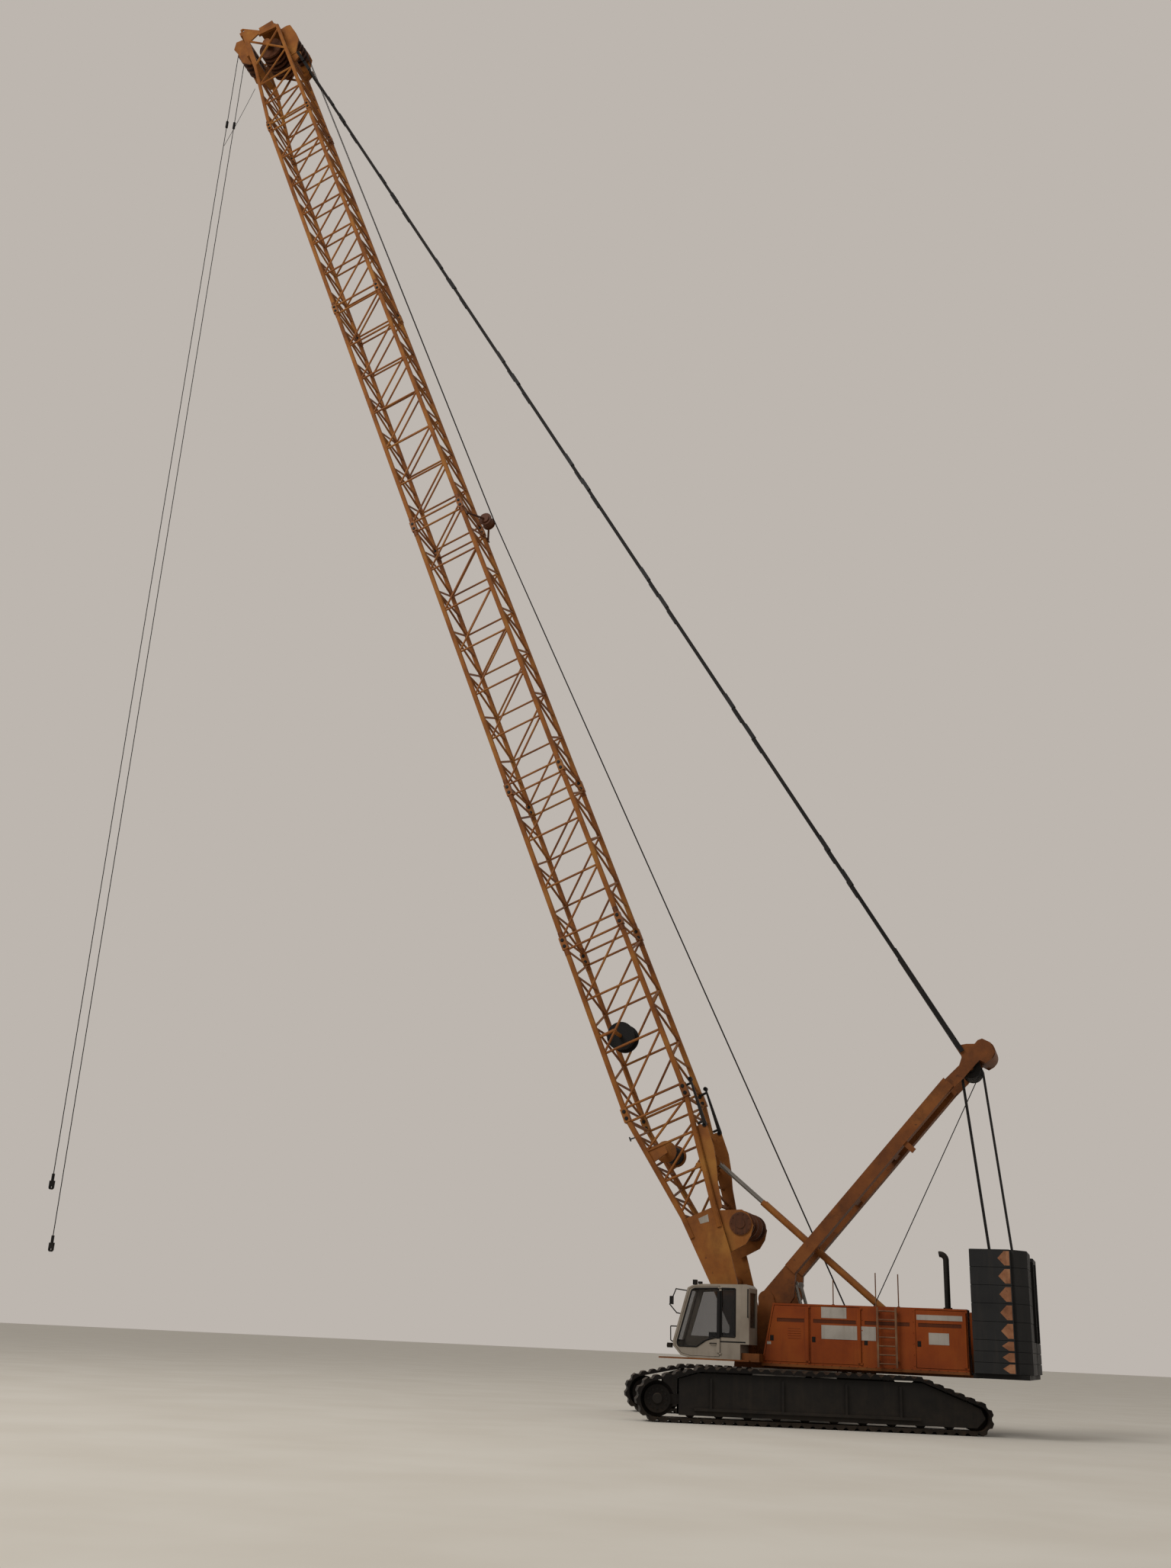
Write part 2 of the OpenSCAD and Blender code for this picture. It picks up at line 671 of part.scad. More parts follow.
module cab_shell() {
    color(cream) difference() {
        side_plate(cab_outline(), -cab_side, -cab_inner);
        side_plate(inset(cab_outline(), cab_wall), -cab_side + cab_wall, -cab_inner - cab_wall);
        side_plate(cab_door_outline(-door_gap), -cab_side - 1, -cab_side + cab_wall + 1);
        side_plate(rear_window(0), -cab_side - 1, -cab_side + cab_wall + 1);
        side_plate(right_window(0), -cab_inner - cab_wall - 1, -cab_inner + 1);
        windscreen_cut(0);
        rear_window_cut(0);
        // Groove under the rear window
        block([door_edge_x + 20, -cab_side - 1, cab_bottom + 223], [cab_rear - 50, -cab_side + 4, cab_bottom + 231]);
    }
    // Hinge pin of the door, between two ears
    color(cream) {
        translate([door_edge_x + door_gap, -cab_side - hinge_out, cab_bottom + 60]) cylinder(r = hinge_pin_r, h = cab_door_high - cab_bottom - 60);
        for (z = [cab_bottom + 60, cab_door_high - hinge_ear])
            block([door_edge_x + door_gap, -cab_side - hinge_out - hinge_pin_r, z], [door_edge_x + door_gap + 26, -cab_side + 1, z + hinge_ear]);
    }
}

cab_door_high = cab_top_z - 75;

module cab_door() {
    x = door_edge_x + door_gap;
    y = -cab_side - hinge_out;
    low = cab_bottom + 60 + hinge_ear + 1;
    high = cab_door_high - hinge_ear - 1;
    color(cream) difference() {
        union() {
            side_plate(cab_door_outline(0), -cab_side, -cab_side + cab_wall);
            translate([x, y, low]) cylinder(r = hinge_tube_r, h = high - low);
            block([x - 36, y - 4, low], [x - 6, -cab_side + 1, high]);
        }
        side_plate(door_window(0), -cab_side - 1, -cab_side + cab_wall + 1);
        translate([x, y, low - 1]) cylinder(r = hinge_pin_r + hinge_clear, h = high - low + 2);
    }
}

module door_glass() {
    color(pale, 0.5) side_plate(door_window(seat_gap), -cab_side + cab_wall / 2, -cab_side + cab_wall / 2 + pane);
}

module cab_glass() {
    band = cab_wall / 2;
    color(pale, 0.5) {
        side_plate(rear_window(seat_gap), -cab_side + band, -cab_side + band + pane);
        side_plate(right_window(seat_gap), -cab_inner - band - pane, -cab_inner - band);
        intersection() {
            windscreen_cut(seat_gap);
            difference() {
                side_plate(inset(cab_outline(), band), -cab_side, -cab_inner);
                side_plate(inset(cab_outline(), band + pane), -cab_side - 1, -cab_inner + 1);
            }
        }
        translate([cab_rear - band - pane, 0, 0]) block([0, -cab_side + 70 + seat_gap, cab_bottom + 420 + seat_gap], [pane, -cab_inner - 70 - seat_gap, cab_top_z - 105 - seat_gap]);
    }
}

// Seat with its consoles, on the cab's floor
module cab_seat() {
    floor_z = cab_bottom + cab_wall;
    y = -(cab_side + cab_inner) / 2;
    x = cab_front + 560;
    color(dark) {
        block([x, y - 90, floor_z], [x + 200, y + 90, floor_z + 180]);
        block([x - 40, y - 120, floor_z + 179], [x + 240, y + 120, floor_z + 250]);
        translate([x + 200, 0, floor_z + 249]) rotate([0, 8, 0]) block([0, y - 110, -10], [60, y + 110, 360]);
        for (s = [-1, 1]) block([x - 60, y + s * 160 - 40, floor_z + 120], [x + 160, y + s * 160 + 40, floor_z + 320]);
        block([x - 20, y - 180, floor_z + 119], [x + 120, y + 180, floor_z + 181]);
    }
}

platform_thickness = 20;

module cab_platform() {
    color(ochre) {
        // Walkway under and ahead of the cab
        block([cab_front - 200, -cab_side - 10, cab_bottom - platform_thickness], [cab_rear, -cab_inner + 10, cab_bottom]);
        // Bracket that carries the cab from the deck
        block([cab_rear - cab_step_x + side_gap, -cab_side + 60, cab_bottom - platform_thickness], [housing_front - 5, -deck_half - seat_gap, cab_bottom + 90]);
        block([cab_rear - cab_step_x + side_gap, -cab_side + 60, cab_bottom - platform_thickness], [housing_front + 30, -half_width - 10, cab_bottom + 90]);
        block([cab_rear - 300, -cab_inner - 10, deck_z + 20], [housing_front - 5, -deck_half - seat_gap, cab_bottom]);
    }
}

tube_r = 8;
tube_seat = seat_gap + 2.4;

// Mirror, lamps and grab rails of the cab
module cab_fittings() {
    y = -cab_side + 25;
    top = cab_top_z - 105;
    low = cab_bottom + 574;
    loop = [[windscreen_x(top) - tube_seat + 1.1, y, top], [cab_front + 25, y, top + 20],
        [cab_front - 65, y, top - 190], [cab_front + 40, y, low + 10], [windscreen_x(low) - tube_seat + 1.1, y, low]];
    color(dark) {
        for (k = [0:3]) strut(loop[k], loop[k + 1], tube_r, 12);
        for (k = [1:3]) translate(loop[k]) sphere(r = tube_r * 1.15, $fn = 16);
        block([cab_front - 48, y - 55, top - 190], [cab_front - 20, y + 45, top - 80]);
        // Roof lamps
        block([cab_front + 268, y - 5, cab_top_z - 23], [cab_front + 322, y + 65, cab_top_z + 46]);
        block([cab_front + 345, y - 5, cab_top_z - 10.4], [cab_front + 395, y + 65, cab_top_z + 24]);
        // Grab rail and lamp ahead of the front wall
        rail = [[windscreen_x(cab_bottom + 405) - tube_seat, y, cab_bottom + 405], [cab_front - 45, y, cab_bottom + 405],
            [cab_front - 40, y, cab_bottom + 220], [cab_front - tube_seat - 2, y, cab_bottom + 200]];
        for (k = [0:2]) strut(rail[k], rail[k + 1], tube_r, 12);
        block([cab_front - 85, y - 20, cab_bottom + 120], [cab_front - 25, y + 60, cab_bottom + 185]);
        block([cab_front - 26, y, cab_bottom + 155], [cab_front - seat_gap, y + 30, cab_bottom + 175]);
        // Grab rail at the rear of the side
        rail_y = -cab_side - 24;
        strut([cab_rear - 14, rail_y, cab_bottom + 550], [cab_rear - 14, rail_y, cab_bottom + 930], tube_r, 12);
        for (z = [560, 920]) strut([cab_rear - 14, rail_y, cab_bottom + z], [cab_rear - 14, -cab_side - seat_gap, cab_bottom + z], tube_r, 12);
    }
}

// Ballast

slab_bottom = wing_top;
slab_rear = slab_front + slab_length;
lower_inner = 60;
chamfer_x = 200;
chamfer_y = 275;
corner_notch = 60;
seam = 6;
seam_depth = 12;
lower_top = slab_bottom + thin_count * thin_slab;

function slab_outline(inner, m = 0) = [
    [slab_front + m, -slab_side + m], [slab_rear - chamfer_x - m, -slab_side + m],
    [slab_rear - chamfer_x - 10 - m, -slab_side + corner_notch], [slab_rear - chamfer_x + corner_notch * 0.7 - m, -slab_side + corner_notch + m],
    [slab_rear - m, -slab_side + chamfer_y + m * 0.5],
    [slab_rear - m, -inner - m], [slab_front + m, -inner - m]];

module slab(z, height, inner) {
    translate([0, 0, z + seam / 2]) linear_extrude(height - seam) polygon(slab_outline(inner));
    translate([0, 0, z]) linear_extrude(height) polygon(slab_outline(inner, seam_depth));
}

module slab_stack() {
    for (k = [0:thin_count - 1]) slab(slab_bottom + k * thin_slab, thin_slab, lower_inner);
    for (k = [0:thick_count - 1]) slab(lower_top + k * thick_slab, thick_slab, slab_inner);
}

module slabs_left() { color(grey) slab_stack(); }
module slabs_right() { color(grey) mirror([0, 1, 0]) slab_stack(); }

module ballast_tray() {
    color(dark) {
        block([deck_rear, -slab_side + 60, slab_bottom - tray_thickness], [slab_rear - 40, slab_side - 60, slab_bottom]);
        // Posts behind the upper slabs, on the lower ones
        both_sides() block([slab_rear - 30, slab_inner - 80, lower_top + seat_gap], [slab_rear + 34, slab_inner - 15, lower_top + 4.6 * thick_slab]);
    }
}

// Winches in the channel: X, Z, barrel radius and flange radius
winch_bore = 30;
function winch_table() = [[2150, 1180, 150, 215], [760, 1120, 150, 215]];

module drum(barrel, flange, half, plate = 24) {
    difference() {
        union() {
            cross_bar(0, 0, barrel, -half, half);
            for (s = [-1, 1]) translate([0, s * (half - plate / 2), 0]) cross_bar(0, 0, flange, -plate / 2, plate / 2);
        }
        cross_bar(0, 0, winch_bore + hinge_clear, -half - 1, half + 1);
    }
}

winch_half = 300;
winch_cheek = 26;

module winch_cheeks(w) {
    for (s = [-1, 1]) translate([0, s * (winch_half + side_gap + winch_cheek / 2), 0]) {
        side_plate([[w[0] - 200, wing_top + seat_gap], [w[0] + 200, wing_top + seat_gap], [w[0] + 70, w[1] + 40], [w[0] - 70, w[1] + 40]], -winch_cheek / 2, winch_cheek / 2);
        cross_bar(w[0], w[1], 80, -winch_cheek / 2, winch_cheek / 2);
    }
    cross_bar(w[0], w[1], winch_bore, -winch_half - side_gap - 1, winch_half + side_gap + 1);
}

module luff_winch() {
    w = winch_table()[0];
    color(dark) translate([w[0], 0, w[1]]) drum(w[2], w[3], winch_half);
}

module hoist_winch() {
    w = winch_table()[1];
    color(dark) translate([w[0], 0, w[1]]) drum(w[2], w[3], winch_half);
}

// Lower sheaves of the luffing tackle behind the deck, with the cheeks of both winches
block_x = 3060;
block_z = 1420;
tackle_r = 150;

module luff_block() {
    color(ochre) {
        for (w = winch_table()) winch_cheeks(w);
        for (s = [-1, 1]) translate([0, s * 260, 0]) {
            side_plate([[block_x - 220, lower_top + seat_gap], [block_x + 220, lower_top + seat_gap],
                [block_x + 60, block_z + 60], [block_x - 60, block_z + 60]], -20, 20);
        }
        cross_bar(block_x, block_z, tackle_axle_r, -260, 260);
    }
}

module block_sheaves() {
    color(dark) translate([block_x, 0, block_z]) sheave_row(tackle_r, 5, 90, tackle_half, 36, tackle_axle_r);
}

// Boom

half_w = boom_width / 2;
half_d = boom_depth / 2;
lug_length = 110;
lug_half = 52;

function corner(s, y, z) = [s, y * half_w, z * half_d];

// A lattice section from s0 to s1
module lattice(s0, s1, bays) {
    step = (s1 - s0 - 2 * lug_length) / bays;
    first = s0 + lug_length;
    // Chords with their pin lugs
    for (y = [-1, 1], z = [-1, 1]) {
        strut(corner(s0, y, z), corner(s1, y, z), chord_r, 8);
        for (s = [s0, s1 - lug_length])
            block([s, y * half_w - lug_half, z * half_d - lug_half], [s + lug_length, y * half_w + lug_half, z * half_d + lug_half]);
    }
    for (k = [0:bays - 1]) {
        a = first + k * step;
        b = a + step;
        mid = a + step / 2;
        // A diagonal on each side, and a V with a tie at its tip on the front and back
        for (y = [-1, 1]) strut(corner(a, y, -1), corner(b, y, 1), brace_r);
        for (z = [-1, 1]) {
            strut(corner(a, -1, z), corner(mid, 1, z), brace_r);
            strut(corner(mid, 1, z), corner(b, -1, z), brace_r);
            strut(corner(mid, -1, z), corner(mid, 1, z), brace_r);
        }
    }
    for (k = [0:bays], y = [-1, 1]) strut(corner(first + k * step, y, -1), corner(first + k * step, y, 1), brace_r);
    for (s = [first, s1 - lug_length], z = [-1, 1]) strut(corner(s, -1, z), corner(s, 1, z), brace_r);
}

module boom_section(s0, length, bays) {
    color(ochre) boom_frame() lattice(s0, s0 + length, bays);
}

short_bays = 3;

module boom_short_lower() {
    boom_section(lower_short_s, short_section, short_bays);
    // Stands and shaft of the cable reel
    color(ochre) boom_frame() {
        for (y = [-1, 1]) strut([reel_s, y * half_w, -half_d], [reel_s, y * half_w, reel_d + 60], 26);
        strut([reel_s, -half_w, reel_d], [reel_s, half_w, reel_d], winch_bore, 48);
    }
}
module boom_short_upper() { boom_section(upper_short_s, short_section, short_bays); }
module boom_long_lower() { boom_section(lower_long_s, long_section, long_bays); }
module boom_long_middle() { boom_section(middle_long_s, long_section, long_bays); }
module boom_long_upper() { boom_section(upper_long_s, long_section, long_bays); }

// Foot section: where the side plates end, and the outline's depth there
plate_s = 1875;
plate_front = -200;
plate_back = 285;
foot_r = 110;
foot_plate = 30;
winch_s = 1510;
winch_d = 560;
boom_winch_half = 400;
boom_winch_inner = 145;
tag_s = 2950;
tag_d = -160;
tag_half = 300;
reel_s = 4970;
reel_d = -235;
eye_s = 2527;
eye_d = 500;
eye_tie_d = 285;
stop_eye_r = 38;
stop_eye_half = 24;

module boom_foot_section() {
    top = foot_section;
    color(ochre) boom_frame() difference() {
        union() {
            for (y = [-1, 1]) {
                // Side plates with the foot lugs
                translate([0, y * half_w, 0]) side_plate([[foot_r, -foot_r], [plate_s / 2, -foot_r - 60], [plate_s, plate_front - chord_r],
                    [plate_s, plate_back + chord_r], [plate_s - 650, plate_back - 2], [795, foot_r * 2], [foot_r, foot_r]], -foot_plate / 2, foot_plate / 2);
                translate([0, y * foot_lug_y, 0]) {
                    cross_bar(0, 0, foot_r, -foot_lug_width / 2, foot_lug_width / 2);
                    side_plate([[0, -foot_r], [420, -foot_r - 25], [420, foot_r + 40], [0, foot_r]], -foot_lug_width / 2, foot_lug_width / 2);
                }
                // Chords from the side plates to the first joint
                strut([plate_s - 300, y * half_w, plate_front + 20], [plate_s, y * half_w, plate_front], chord_r, 8);
                strut([plate_s, y * half_w, plate_front], corner(top - lug_length / 2, y, -1), chord_r, 8);
                strut([plate_s - 300, y * half_w, plate_back - 25], [plate_s, y * half_w, plate_back], chord_r, 8);
                strut([plate_s, y * half_w, plate_back], corner(top - lug_length / 2, y, 1), chord_r, 8);
                for (z = [-1, 1])
                    block([top - lug_length, y * half_w - lug_half, z * half_d - lug_half], [top, y * half_w + lug_half, z * half_d + lug_half]);
                // Braces of the sides, and a V with its tie on the front and back
                for (k = [0:2]) {
                    a = foot_first + k * foot_step;
                    b = a + foot_step;
                    mid = a + foot_step / 2;
                    strut([a, y * half_w, foot_front(a)], [b, y * half_w, foot_back(b)], brace_r);
                    strut([b, y * half_w, foot_front(b)], [b, y * half_w, foot_back(b)], brace_r);
                    strut(foot_corner(y < 0 ? a : b, -1, -1), foot_corner(mid, 1, -1), brace_r);
                    strut(foot_corner(y < 0 ? a : b, -1, 1), foot_corner(mid, 1, 1), brace_r);
                    strut(foot_corner(mid, -1, y), foot_corner(mid, 1, y), brace_r);
                }
                // Bracket plates on the back, and the end brackets of the boom winch
                translate([0, y * (half_w - 60), 0]) {
                    side_plate([[1750, foot_back(1750) - 60], [3080, foot_back(3080) - 40], [3080, half_d + 40], [3030, half_d + 115],
                        [2703, half_d + 100], [2454, half_d + 45], [2185, half_d - 40], [1835, half_d - 110]], -bracket_plate / 2, bracket_plate / 2);
                    side_plate([[winch_s - 320, foot_back(winch_s - 320) - 40], [winch_s + 330, foot_back(winch_s + 330) - 40], [winch_s + 180, winch_d + 90],
                        [winch_s + 90, winch_d + 160], [winch_s - 90, winch_d + 165], [winch_s - 210, winch_d + 80], [winch_s - 295, winch_d - 40]],
                        -bracket_plate / 2, bracket_plate / 2);
                    cross_bar(winch_s, winch_d, boom_flange_r - 22, -bracket_plate, bracket_plate);
                }
            }
            // Ties across the front and back
            for (s = [plate_s + 60, top - lug_length], z = [0, 1])
                strut([s, -half_w, z == 0 ? foot_front(s) : foot_back(s)], [s, half_w, z == 0 ? foot_front(s) : foot_back(s)], brace_r * 1.4);
            strut([900, -half_w, 0], [900, half_w, 0], 80, 12);
            // Shafts of the two drums
            strut([winch_s, -half_w + 60, winch_d], [winch_s, half_w - 60, winch_d], winch_bore, 48);
            strut([tag_s, -half_w + 15, tag_d], [tag_s, half_w - 15, tag_d], winch_bore, 48);
            for (y = [-1, 1]) translate([0, y * (half_w - 15), 0])
                side_plate([[tag_s - 130, foot_front(tag_s - 130) - 10], [tag_s + 130, foot_front(tag_s + 130) - 10], [tag_s + 70, tag_d + 70], [tag_s - 70, tag_d + 70]], -15, 15);
            // Tie for the backstops, with ears on both sides of each rod's eye
            strut([eye_s, -half_w, eye_tie_d], [eye_s, half_w, eye_tie_d], 40, 12);
            for (y = [-1, 1], k = [-1, 1]) translate([0, y * stop_offset + k * (stop_rod_r + side_gap + 8), 0]) {
                side_plate([[eye_s - 90, eye_tie_d - 30], [eye_s + 90, eye_tie_d - 30], [eye_s + 45, eye_d], [eye_s - 45, eye_d]], -8, 8);
                cross_bar(eye_s, eye_d, 45, -8, 8);
            }
        }
        for (y = [-1, 1]) translate([0, y * foot_lug_y, 0]) cross_bar(0, 0, foot_pin_r + hinge_clear, -foot_lug_width, foot_lug_width);
    }
}

foot_first = plate_s + 100;
foot_step = (foot_section - lug_length - foot_first) / 3;
bracket_plate = 26;
boom_flange_r = 190;
function foot_corner(s, y, z) = [s, y * half_w, z < 0 ? foot_front(s) : foot_back(s)];
// Chord middles of the foot section at s
function foot_front(s) = s < plate_s ? plate_front + 20 * (plate_s - s) / 300 : plate_front + (s - plate_s) * (-half_d - plate_front) / (foot_section - plate_s);
function foot_back(s) = s < plate_s ? plate_back - 25 * (plate_s - s) / 300 : plate_back + (s - plate_s) * (half_d - plate_back) / (foot_section - plate_s);

// Two drums on one shaft, with room between them for the backstops' rods when the boom is low
module boom_winch() {
    half = (boom_winch_half - boom_winch_inner) / 2;
    color(dark) boom_frame() both_sides() translate([winch_s, boom_winch_half - half, winch_d]) drum(120, boom_flange_r, half);
}

module tag_winch() {
    color(dark) boom_frame() translate([tag_s, 0, tag_d]) drum(110, 165, tag_half);
}

module cable_reel() {
    color(dark) boom_frame() translate([reel_s, 0, reel_d]) drum(90, 225, 150, 20);
}

guide_s = 15390;
guide_d = 765;
guide_r = 125;
guide_half = 105;

// Roller that carries the hoist ropes over the boom's back, on pads on the chords
module rope_guide() {
    color(dark) boom_frame() {
        for (y = [-1, 1]) {
            block([guide_s - 45, y * half_w - 32, half_d + chord_r + seat_gap], [guide_s + 45, y * half_w + 32, half_d + chord_r + 24]);
            strut([guide_s, y * half_w, half_d + chord_r + 14], [guide_s, y * (guide_half + 30), guide_d - 20], 20, 12);
            translate([0, y * (guide_half + 14), 0]) cross_bar(guide_s, guide_d, 80, -14, 14);
            translate([0, y * (guide_half - 8), 0]) cross_bar(guide_s, guide_d, guide_r, -8, 8);
        }
        cross_bar(guide_s, guide_d, guide_r - 22, -guide_half, guide_half);
    }
}

// Head: axes of the front and back sheaves
front_s = head_s + 3110;
front_d = -500;
back_s = head_s + 2630;
back_d = 610;
main_s = head_s + 2700;
main_d = 120;
main_sheave_r = 285;
stay_pin_r = 24;
sheave_pack = 300;
head_plate = 30;
stay_head_s = head_s + 2040;
stay_head_d = 700;
head_axle_r = 45;
horn_s = head_s + 2150;
head_bays = 3;
front_rise = 180;
beam_s = head_s + 3040;
box_low = 60;
box_high = 430;
box_depth = 240;
jib_s = tip_s - 85;
jib_d = -310;

// Middles of the head's front chords at s
function head_front(s) = -half_d + front_rise * (s - head_s) / (horn_s + 100 - head_s);
function head_corner(s, y, z) = [s, y * half_w, z < 0 ? head_front(s) : half_d];

// Side plates of the head: the horn over the front, and the beam above it
module head_side() {
    side_plate([[horn_s, -375], [tip_s - 7, -370], [tip_s, -309], [tip_s - 383, 65], [beam_s + 57, 23], [beam_s - 43, -257], [horn_s, -265]],
        -head_plate / 2, head_plate / 2);
    side_plate([[beam_s + 10, 0], [beam_s + 110, 40], [beam_s + 75, half_d - 30], [beam_s - 50, half_d + 20], [beam_s - 50, half_d - 60]], -45, head_plate / 2);
    // Bearing plate of the main axle, where the braces cross
    cross_bar(main_s, main_d, 95, -head_plate / 2, head_plate / 2);
}

// Cheeks of the front and back sheaves
module sheave_cheek() {
    side_plate([[front_s - 510, -300], [front_s - 510, front_d + 17], [front_s - 314, front_d - 144], [front_s + 26, front_d - 165],
        [front_s + 240, front_d - 225], [front_s + 430, front_d - 111], [front_s + 390, front_d + 80], [front_s + 190, -300]], -15, 15);
    side_plate([[back_s - 518, half_d + 20], [back_s - 518, back_d + 37], [back_s - 280, back_d + 142], [back_s - 129, back_d + 221],
        [back_s + 99, back_d + 207], [back_s + 453, back_d + 149], [back_s + 494, back_d + 63], [back_s + 494, half_d + 20]], -15, 15);
}

module boom_head() {
    first = head_s + lug_length;
    step = (horn_s - first) / head_bays;
    color(ochre) boom_frame() difference() {
        union() {
            for (y = [-1, 1]) {
                strut([head_s + lug_length / 2, y * half_w, -half_d], head_corner(horn_s + 100, y, -1), chord_r, 8);
                strut([head_s, y * half_w, half_d], [beam_s - 20, y * half_w, half_d], chord_r, 8);
                for (z = [-1, 1])
                    block([head_s, y * half_w - lug_half, z * half_d - lug_half], [head_s + lug_length, y * half_w + lug_half, z * half_d + lug_half]);
                translate([0, y * half_w, 0]) if (y > 0) head_side(); else mirror([0, 1, 0]) head_side();
                // Crossed braces behind the horn
                strut([horn_s + 20, y * half_w, -300], [beam_s - 130, y * half_w, half_d], brace_r * 1.3);
                strut([horn_s + 20, y * half_w, half_d], [beam_s - 20, y * half_w, -250], brace_r * 1.3);
                translate([0, y * (sheave_pack + side_gap + 15), 0]) sheave_cheek();
                // Ears of the stays
                translate([0, y * stay_offset, 0]) side_plate([[stay_head_s - 200, half_d - 20], [stay_head_s + 160, half_d - 20],
                    [stay_head_s + 50, stay_head_d + 50], [stay_head_s - 50, stay_head_d + 50]], -20, 20);
            }
            for (k = [0:head_bays - 1]) {
                a = first + k * step;
                mid = a + step / 2;
                for (y = [-1, 1]) {
                    strut(head_corner(a, y, -1), head_corner(a + step, y, 1), brace_r);
                    strut(head_corner(a, y, -1), head_corner(a, y, 1), brace_r);
                }
                for (z = [-1, 1]) {
                    strut(head_corner(a, -1, z), head_corner(mid, 1, z), brace_r);
                    strut(head_corner(mid, 1, z), head_corner(a + step, -1, z), brace_r);
                    strut(head_corner(mid, -1, z), head_corner(mid, 1, z), brace_r);
                }
            }
            // Cross members under the front sheaves' cheeks, and the box at the top
            block([front_s - 505, -half_w, -440], [front_s - 340, half_w, -300]);
            block([front_s + 250, -half_w, -420], [front_s + 370, half_w, -330]);
            block([beam_s, -half_w, box_low], [beam_s + box_depth, half_w, box_high]);
            for (s = [stay_head_s - 120, back_s - 430, back_s + 280])
                strut([s, -half_w, half_d], [s, half_w, half_d], 46, 12);
            // Axles of the main, front and back sheaves
            strut([main_s, -half_w, main_d], [main_s, half_w, main_d], head_axle_r, 48);
            strut([front_s, -sheave_pack - 25, front_d], [front_s, sheave_pack + 25, front_d], head_axle_r, 48);
            strut([back_s, -sheave_pack - 25, back_d], [back_s, sheave_pack + 25, back_d], head_axle_r, 48);
        }
        // Pin holes of the stays
        cross_bar(stay_head_s, stay_head_d, stay_pin_r + hinge_clear, -half_w, half_w);
        // Holes for a jib's pins, through the horn plates
        for (y = [-1, 1]) translate([0, y * half_w, 0]) cross_bar(jib_s, jib_d, jib_hole_r, -2 * head_plate, 2 * head_plate);
    }
}

jib_hole_r = 30;
stay_offset = 300;

// Rope sheaves side by side on one tube
module sheave_row(r, rows, pitch, half, width, bore) {
    difference() {
        union() {
            for (k = [0:rows - 1]) translate([0, (k - (rows - 1) / 2) * pitch, 0]) cross_bar(0, 0, r, -width / 2, width / 2);
            cross_bar(0, 0, bore + 22, -half, half);
        }
        cross_bar(0, 0, bore + hinge_clear, -half - 1, half + 1);
    }
}

module front_sheaves() {
    color(dark) boom_frame() translate([front_s, 0, front_d]) sheave_row(head_sheave_r, 5, sheave_pitch, sheave_pack, 48, head_axle_r);
}

module main_sheaves() {
    color(dark) boom_frame() translate([main_s, 0, main_d]) sheave_row(main_sheave_r, 7, 110, 440, 44, head_axle_r);
}

module back_sheaves() {
    color(dark) boom_frame() translate([back_s, 0, back_d]) sheave_row(head_sheave_r, 5, 115, sheave_pack, 48, head_axle_r);
}

sheave_pitch = 130;
tip_mast_y = -400;
tip_mast_height = 770;

// Twin rods on the top box, with the lamp at their end and the arm of the wind gauge
module tip_mast() {
    base = beam_s + box_depth + seat_gap;
    bend = base + 350;
    high = box_high + 75;
    color(dark) boom_frame() {
        block([base, tip_mast_y - 40, box_high - 50], [base + 16, tip_mast_y + 40, box_high]);
        for (y = [tip_mast_y - 22, tip_mast_y + 22]) {
            strut([base + 10, y, box_high - 25], [bend + 5, y, high - 4], 10, 12);
            strut([bend - 5, y, high - 5], [base + tip_mast_height, y, high], 10, 12);
        }
        translate([base + tip_mast_height + 30, tip_mast_y, high]) sphere(r = 55);
        strut([bend + 140, tip_mast_y, high + 5], [bend + 142, tip_mast_y, high - 120], 8, 12);
        block([bend + 130, tip_mast_y - 25, high - 8], [bend + 152, tip_mast_y + 25, high + 8]);
        translate([bend + 142, tip_mast_y, high - 140]) sphere(r = 30, $fn = 24);
    }
}

// Points in the machine's frame: X and Z
function boom_point(s, d) = [foot_x - s * cos(boom_angle) + d * sin(boom_angle), foot_z + s * sin(boom_angle) + d * cos(boom_angle)];
function mast_point(s, d) = [mast_x + s * cos(mast_angle) - d * sin(mast_angle), mast_z + s * sin(mast_angle) + d * cos(mast_angle)];

stay_mast_s = mast_length - 160;
stay_mast_d = 195;
stay_joints = [for (k = [0:7]) each [2010 + 3070 * k, 2700 + 3070 * k]];
stay_joint_half = 150;
stay_thick_r = 34;
stay_thick_length = 1800;
stay_link = 675;

// Fork of a stay round its ear, with the pin at X 0 and the bar towards +X
module stay_fork() {
    for (s = [-1, 1]) block([-48, s * 38 - 12, -34], [fork_length, s * 38 + 12, 34]);
    block([fork_length - 80, -50, -34], [fork_length, 50, 34]);
}

// Stays from the boom head to the mast head, with their joints
module stays() {
    top = boom_point(stay_head_s, stay_head_d);
    low = mast_point(stay_mast_s, stay_mast_d);
    length = norm(top - low);
    slope = atan2(top[1] - low[1], top[0] - low[0]);
    color(dark) translate([low[0], 0, low[1]]) rotate([0, -slope, 0]) both_sides() translate([0, stay_offset, 0]) {
        strut([fork_length - 10, 0, 0], [length - fork_length + 10, 0, 0], stay_r, 12);
        strut([fork_length - 10, 0, 0], [stay_thick_length, 0, 0], stay_thick_r, 12);
        for (k = stay_joints) block([length - k - stay_joint_half, -30, -34], [length - k + stay_joint_half, 30, 34]);
        block([length - stay_link, -30, -34], [length - fork_length + 10, 30, 34]);
        stay_fork();
        translate([length, 0, 0]) rotate([0, 180, 0]) stay_fork();
        translate([length, 0, 0]) cross_bar(0, 0, stay_pin_r, -56, 56);
    }
}

fork_length = 330;

// Mast

leg_foot_r = 110;
leg_mid = 14;
solid_s = 2675;
leg_low = leg_mid - leg_depth / 2;
leg_high = leg_mid + leg_depth / 2;
leg_end = mast_length - 650;
end_bar_r = 150;

